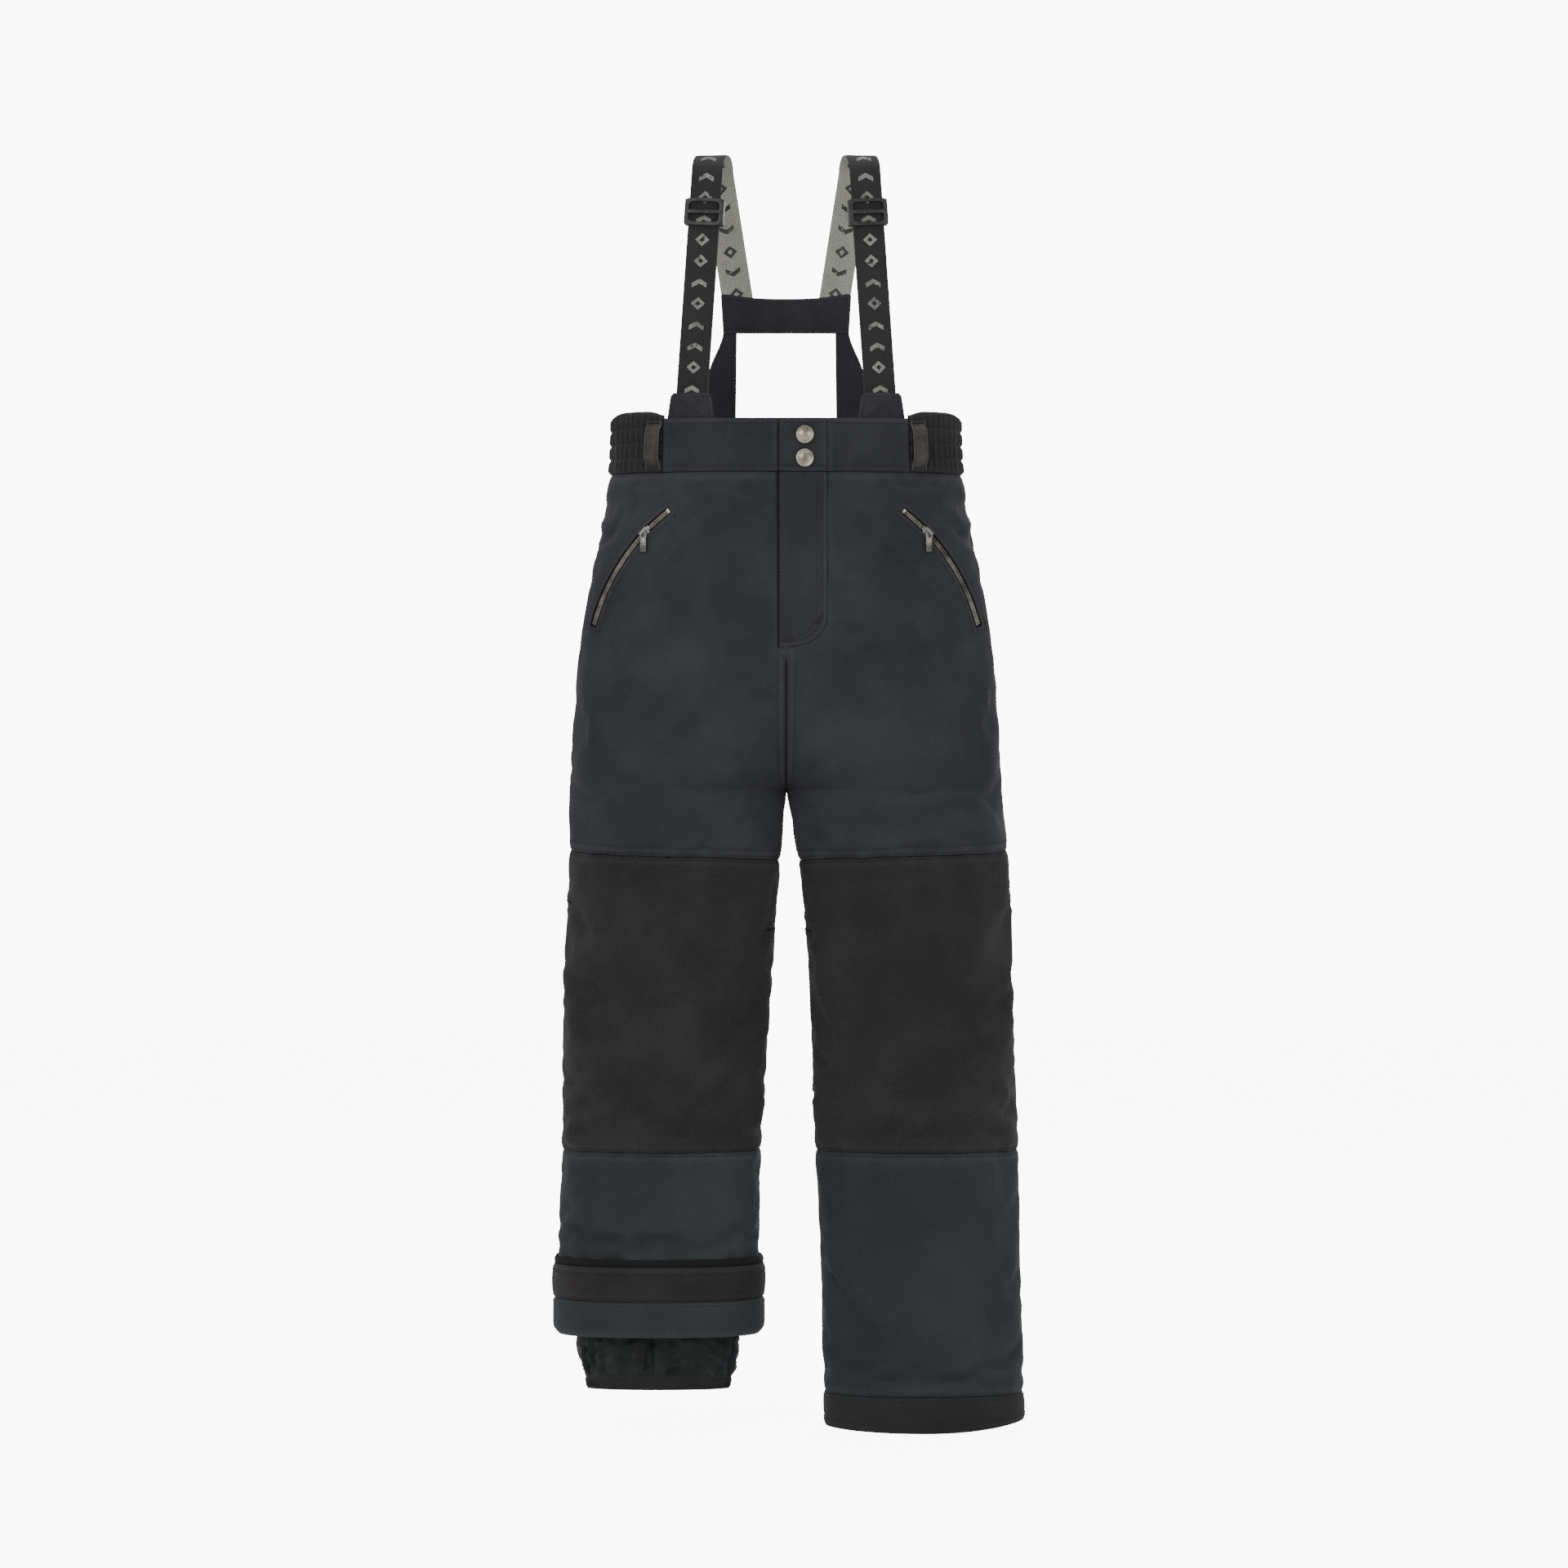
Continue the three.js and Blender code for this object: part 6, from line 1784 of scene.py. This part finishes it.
for side in sideSign:
    stations = strapStations(side)
    half = strap["thickness"] / 2
    outer, inner, uv = ribbonGrid(stations, strap["width"] / 2, -half, half)
    webbing = slab(f"shoulderStrap_{side}", outer, inner, webbingFace, uv=uv)
    twoFaced(webbing, outer, webbingBack)
    declareSheet(webbing, outer, "root", None, [f"shoulder_strap_{side}"])
    foot, bend = stations[0], stations[1]
    rise = bend[0] - foot[0]

    def onFront(z):
        return (foot[0] + rise * (z - foot[0][2]) / rise[2], foot[1], bend[2])
    low = -half - 0.4 - strap["thickness"]
    outer, inner, uv = ribbonGrid([onFront(strapBottomZ + 4), onFront(-strap["adjusterDrop"] - 2)],
                                  strap["width"] / 2, low, -half - 0.4)
    folded = slab(f"strapReturn_{side}", outer, inner, webbingFace, uv=uv)
    twoFaced(folded, outer, webbingBack)
    declareSheet(folded, outer, "root", None, [f"strap_return_{side}"])
    up = rise / np.linalg.norm(rise)
    hub = onFront(-strap["adjusterDrop"])[0]
    place = Matrix([[float(foot[1][k]), float(up[k]), float(bend[2][k]), float(hub[k])] for k in range(3)]
                   + [[0, 0, 0, 1]])
    buckle = joinMeshes(f"strapAdjuster_{side}", adjusterMeshes(place, strap["width"] + 0.8, low - 0.4, half + 0.4),
                        adjusterPlastic)
    declare(buckle, f"adjuster_{side}", None, [f"adjuster_{side}"])

    # The anchor tab, a trapezoid that rises from inside the waistband
    sign = sideSign[side]
    t = np.linspace(0, 1, 16)[:, None]
    w = np.linspace(-1, 1, 20)[None, :]
    halfW = between(17.0, 22.0, t) - 2.0 * bell(t, 0.05)
    x = sign * (strap["waistX"] - 2 + w * halfW)
    z = between(body["bandTop"] + 22, body["bandTop"] - 12, t) + 0 * w
    depth = frontDepth(side, np.abs(x), np.full(x.shape, body["bandTop"]))
    fromEdge = np.minimum((1 - np.abs(w)) * halfW, 34 * t)
    pad = 0.7 * smooth(fromEdge / 5) - 0.55 * bell(fromEdge - 3, 1.1) + 0.25 * noise(x / 9, z / 9, 67)
    outer = np.stack([x, -depth - strap["tabOuter"] - pad, z], -1)
    inner = np.stack([x, -depth - strap["tabInner"] + 0 * pad, z], -1)
    tabPiece = slab(f"strapTab_{side}", outer, inner, yokeCloth, uv=np.stack([x, -z], -1),
                    edge=bell(fromEdge - 1.2, 1.2))
    declare(tabPiece, "root", None, [f"strap_tab_{side}"])
    top = turnedTo(outer, (0, -1, 0))
    lines = [lineOn(top, *ends, 20) for ends in ((1.3, 1.6, 1.3, 17.4), (1.3, 1.6, 11, 1.6), (1.3, 17.4, 11, 17.4),
                                                 (1.8, 3.5, 9.5, 15.5), (1.8, 15.5, 9.5, 3.5))]
    sew(f"strapTabStitching_{side}", lines, "root")
print("straps done")


# Back yoke

w = np.linspace(-1, 1, 60)[None, :]
t = np.linspace(0, 1, 20)[:, None]
corner = bell(1 - np.abs(w), 0.03)
topEdge = yoke["topZ"] + yoke["cornerRise"] - yoke["dip"] * (1 - np.abs(w) ** 2.5) - 2.0 * corner
bottomEdge = yoke["bottomZ"] + 0.6 * corner + 0 * w
z = between(topEdge, bottomEdge, t)
x = yoke["halfWidth"] * w * (1 - 0.035 * t) + 0 * t
fromEdge = np.minimum(np.minimum((1 - np.abs(w)) * yoke["halfWidth"], (topEdge - z)), z - bottomEdge)
pad = 0.55 * smooth(fromEdge / 5) - 0.35 * bell(fromEdge - 3.2, 1.1) + 0.2 * noise(x / 15, z / 11, 68)
crossFront = np.stack([x, yokeFrontY - 0.45 - pad, z], -1)
crossBack = np.stack([x, yokeBackY + 0.45 + pad, z], -1)
crossbar = slab("backCrossbar", crossBack, crossFront, yokeCloth, uv=np.stack([x, -z], -1),
                edge=bell(fromEdge - 1.2, 1.2))
declare(crossbar, "root", None, ["back_crossbar"])
yokeLines = []
for grid, way in ((crossFront, -1), (crossBack, 1)):
    top = turnedTo(grid, (0, way, 0))
    yokeLines += [lineOn(top, row, 1.5, row, 57.5, 80) for row in (1.9, 17.1)]
    yokeLines += [lineOn(top, 2, col, 17, col, 20) for col in (1.6, 57.4)]
for side in sideSign:
    sign = sideSign[side]
    t = np.linspace(0, 1, 34)[:, None]
    w = np.linspace(0, 1, 14)[None, :]
    outerX = 54.5 + 7.5 * smooth((t - 0.03) / 0.4) + 14.0 * t
    x = between(43.0 + t, outerX, w)
    z = between(-147.4, -238.5, t) + 0 * w
    wide = between(19.0, 32.0, t)
    fromEdge = np.minimum(np.minimum(w, 1 - w) * wide, 88 * t + 3)
    pad = 0.5 * smooth(fromEdge / 4) * smooth((t - 0.02) / 0.1) - 0.5 * bell(fromEdge - 3, 1.1) \
        + 0.3 * noise(x / 11, z / 17, 69)
    riserFront = np.stack([sign * x, yokeFrontY + 0.4 - pad, z], -1)
    riserBack = np.stack([sign * x, yokeBackY - 0.4 + 0.7 * pad, z], -1)
    riser = slab(f"backRiser_{side}", riserBack, riserFront, yokeCloth, uv=np.stack([x, -z], -1),
                 edge=bell(fromEdge - 1.2, 1.2))
    declare(riser, "root", None, [f"back_riser_{side}"])
    for grid, way in ((riserFront, -1), (riserBack, 1)):
        top = turnedTo(grid, (0, way, 0))
        yokeLines += [lineOn(top, 1, col, 27, col, 50) for col in (1.6, 11.4)]
sew("yokeStitching", yokeLines, "root")
print("yoke done")


studio = {"backdrop": 9.0, "strength": 1.0, "floorGlow": 8.6, "floorZ": -1.1015, "floorReach": 6, "aimZ": -0.55,
          "lens": 100.0, "sensor": 36.0, "camera": (-0.0018, -3.765, -0.5436)}
# Where each light stands, its size in metres and its power in watts
lights = {"keyLight": ((-1.4, -2.2, 0.7), 1.6, 32), "fillLight": ((1.8, -2.0, 0.0), 1.8, 16),
          "topLight": ((0, -0.2, 1.5), 1.6, 14), "rearLight": ((0.9, 2.3, 0.5), 1.8, 22)}


def makeFloorMaterial():
    made, tree, shader = startMaterial("studio floor", 0.9)
    shader.inputs["Base Color"].default_value = (0.84, 0.84, 0.84, 1)
    shader.inputs["Emission Color"].default_value = (1, 1, 1, 1)
    seen = tree.nodes.new("ShaderNodeLightPath").outputs["Is Camera Ray"]
    wire(tree, times(tree, seen, studio["floorGlow"]), shader.inputs["Emission Strength"])
    return made


def addStudio():
    mesh = bpy.data.meshes.new("floor")
    reach = studio["floorReach"]
    corners = ((-reach, -reach), (reach, -reach), (reach, reach), (-reach, reach))
    mesh.from_pydata([(*corner, studio["floorZ"]) for corner in corners], [], [(0, 1, 2, 3)])
    ground = makeObject("floor", mesh, makeFloorMaterial())
    world = bpy.data.worlds.new("studio")
    world.use_nodes = True
    tree = world.node_tree
    backdrop = tree.nodes["Background"].inputs
    backdrop[0].default_value = (1, 1, 1, 1)
    seen = tree.nodes.new("ShaderNodeLightPath").outputs["Is Camera Ray"]
    wire(tree, mathNode(tree, "MULTIPLY_ADD", seen, studio["backdrop"], studio["strength"]), backdrop[1])
    bpy.context.scene.world = world
    for name, (place, size, power) in lights.items():
        data = bpy.data.lights.new(name, "AREA")
        data.size, data.energy = size, power
        lamp = addObject(name, data)
        lamp.location = place
        aim = Vector((0, 0, studio["aimZ"])) - Vector(place)
        lamp.rotation_euler = aim.to_track_quat("-Z", "Y").to_euler()


def addCamera():
    data = bpy.data.cameras.new("camera")
    data.lens, data.sensor_width = studio["lens"], studio["sensor"]
    camera = addObject("camera", data)
    camera.location = studio["camera"]
    camera.rotation_euler = (math.pi / 2, 0, 0)
    bpy.context.scene.camera = camera


addStudio()
addCamera()
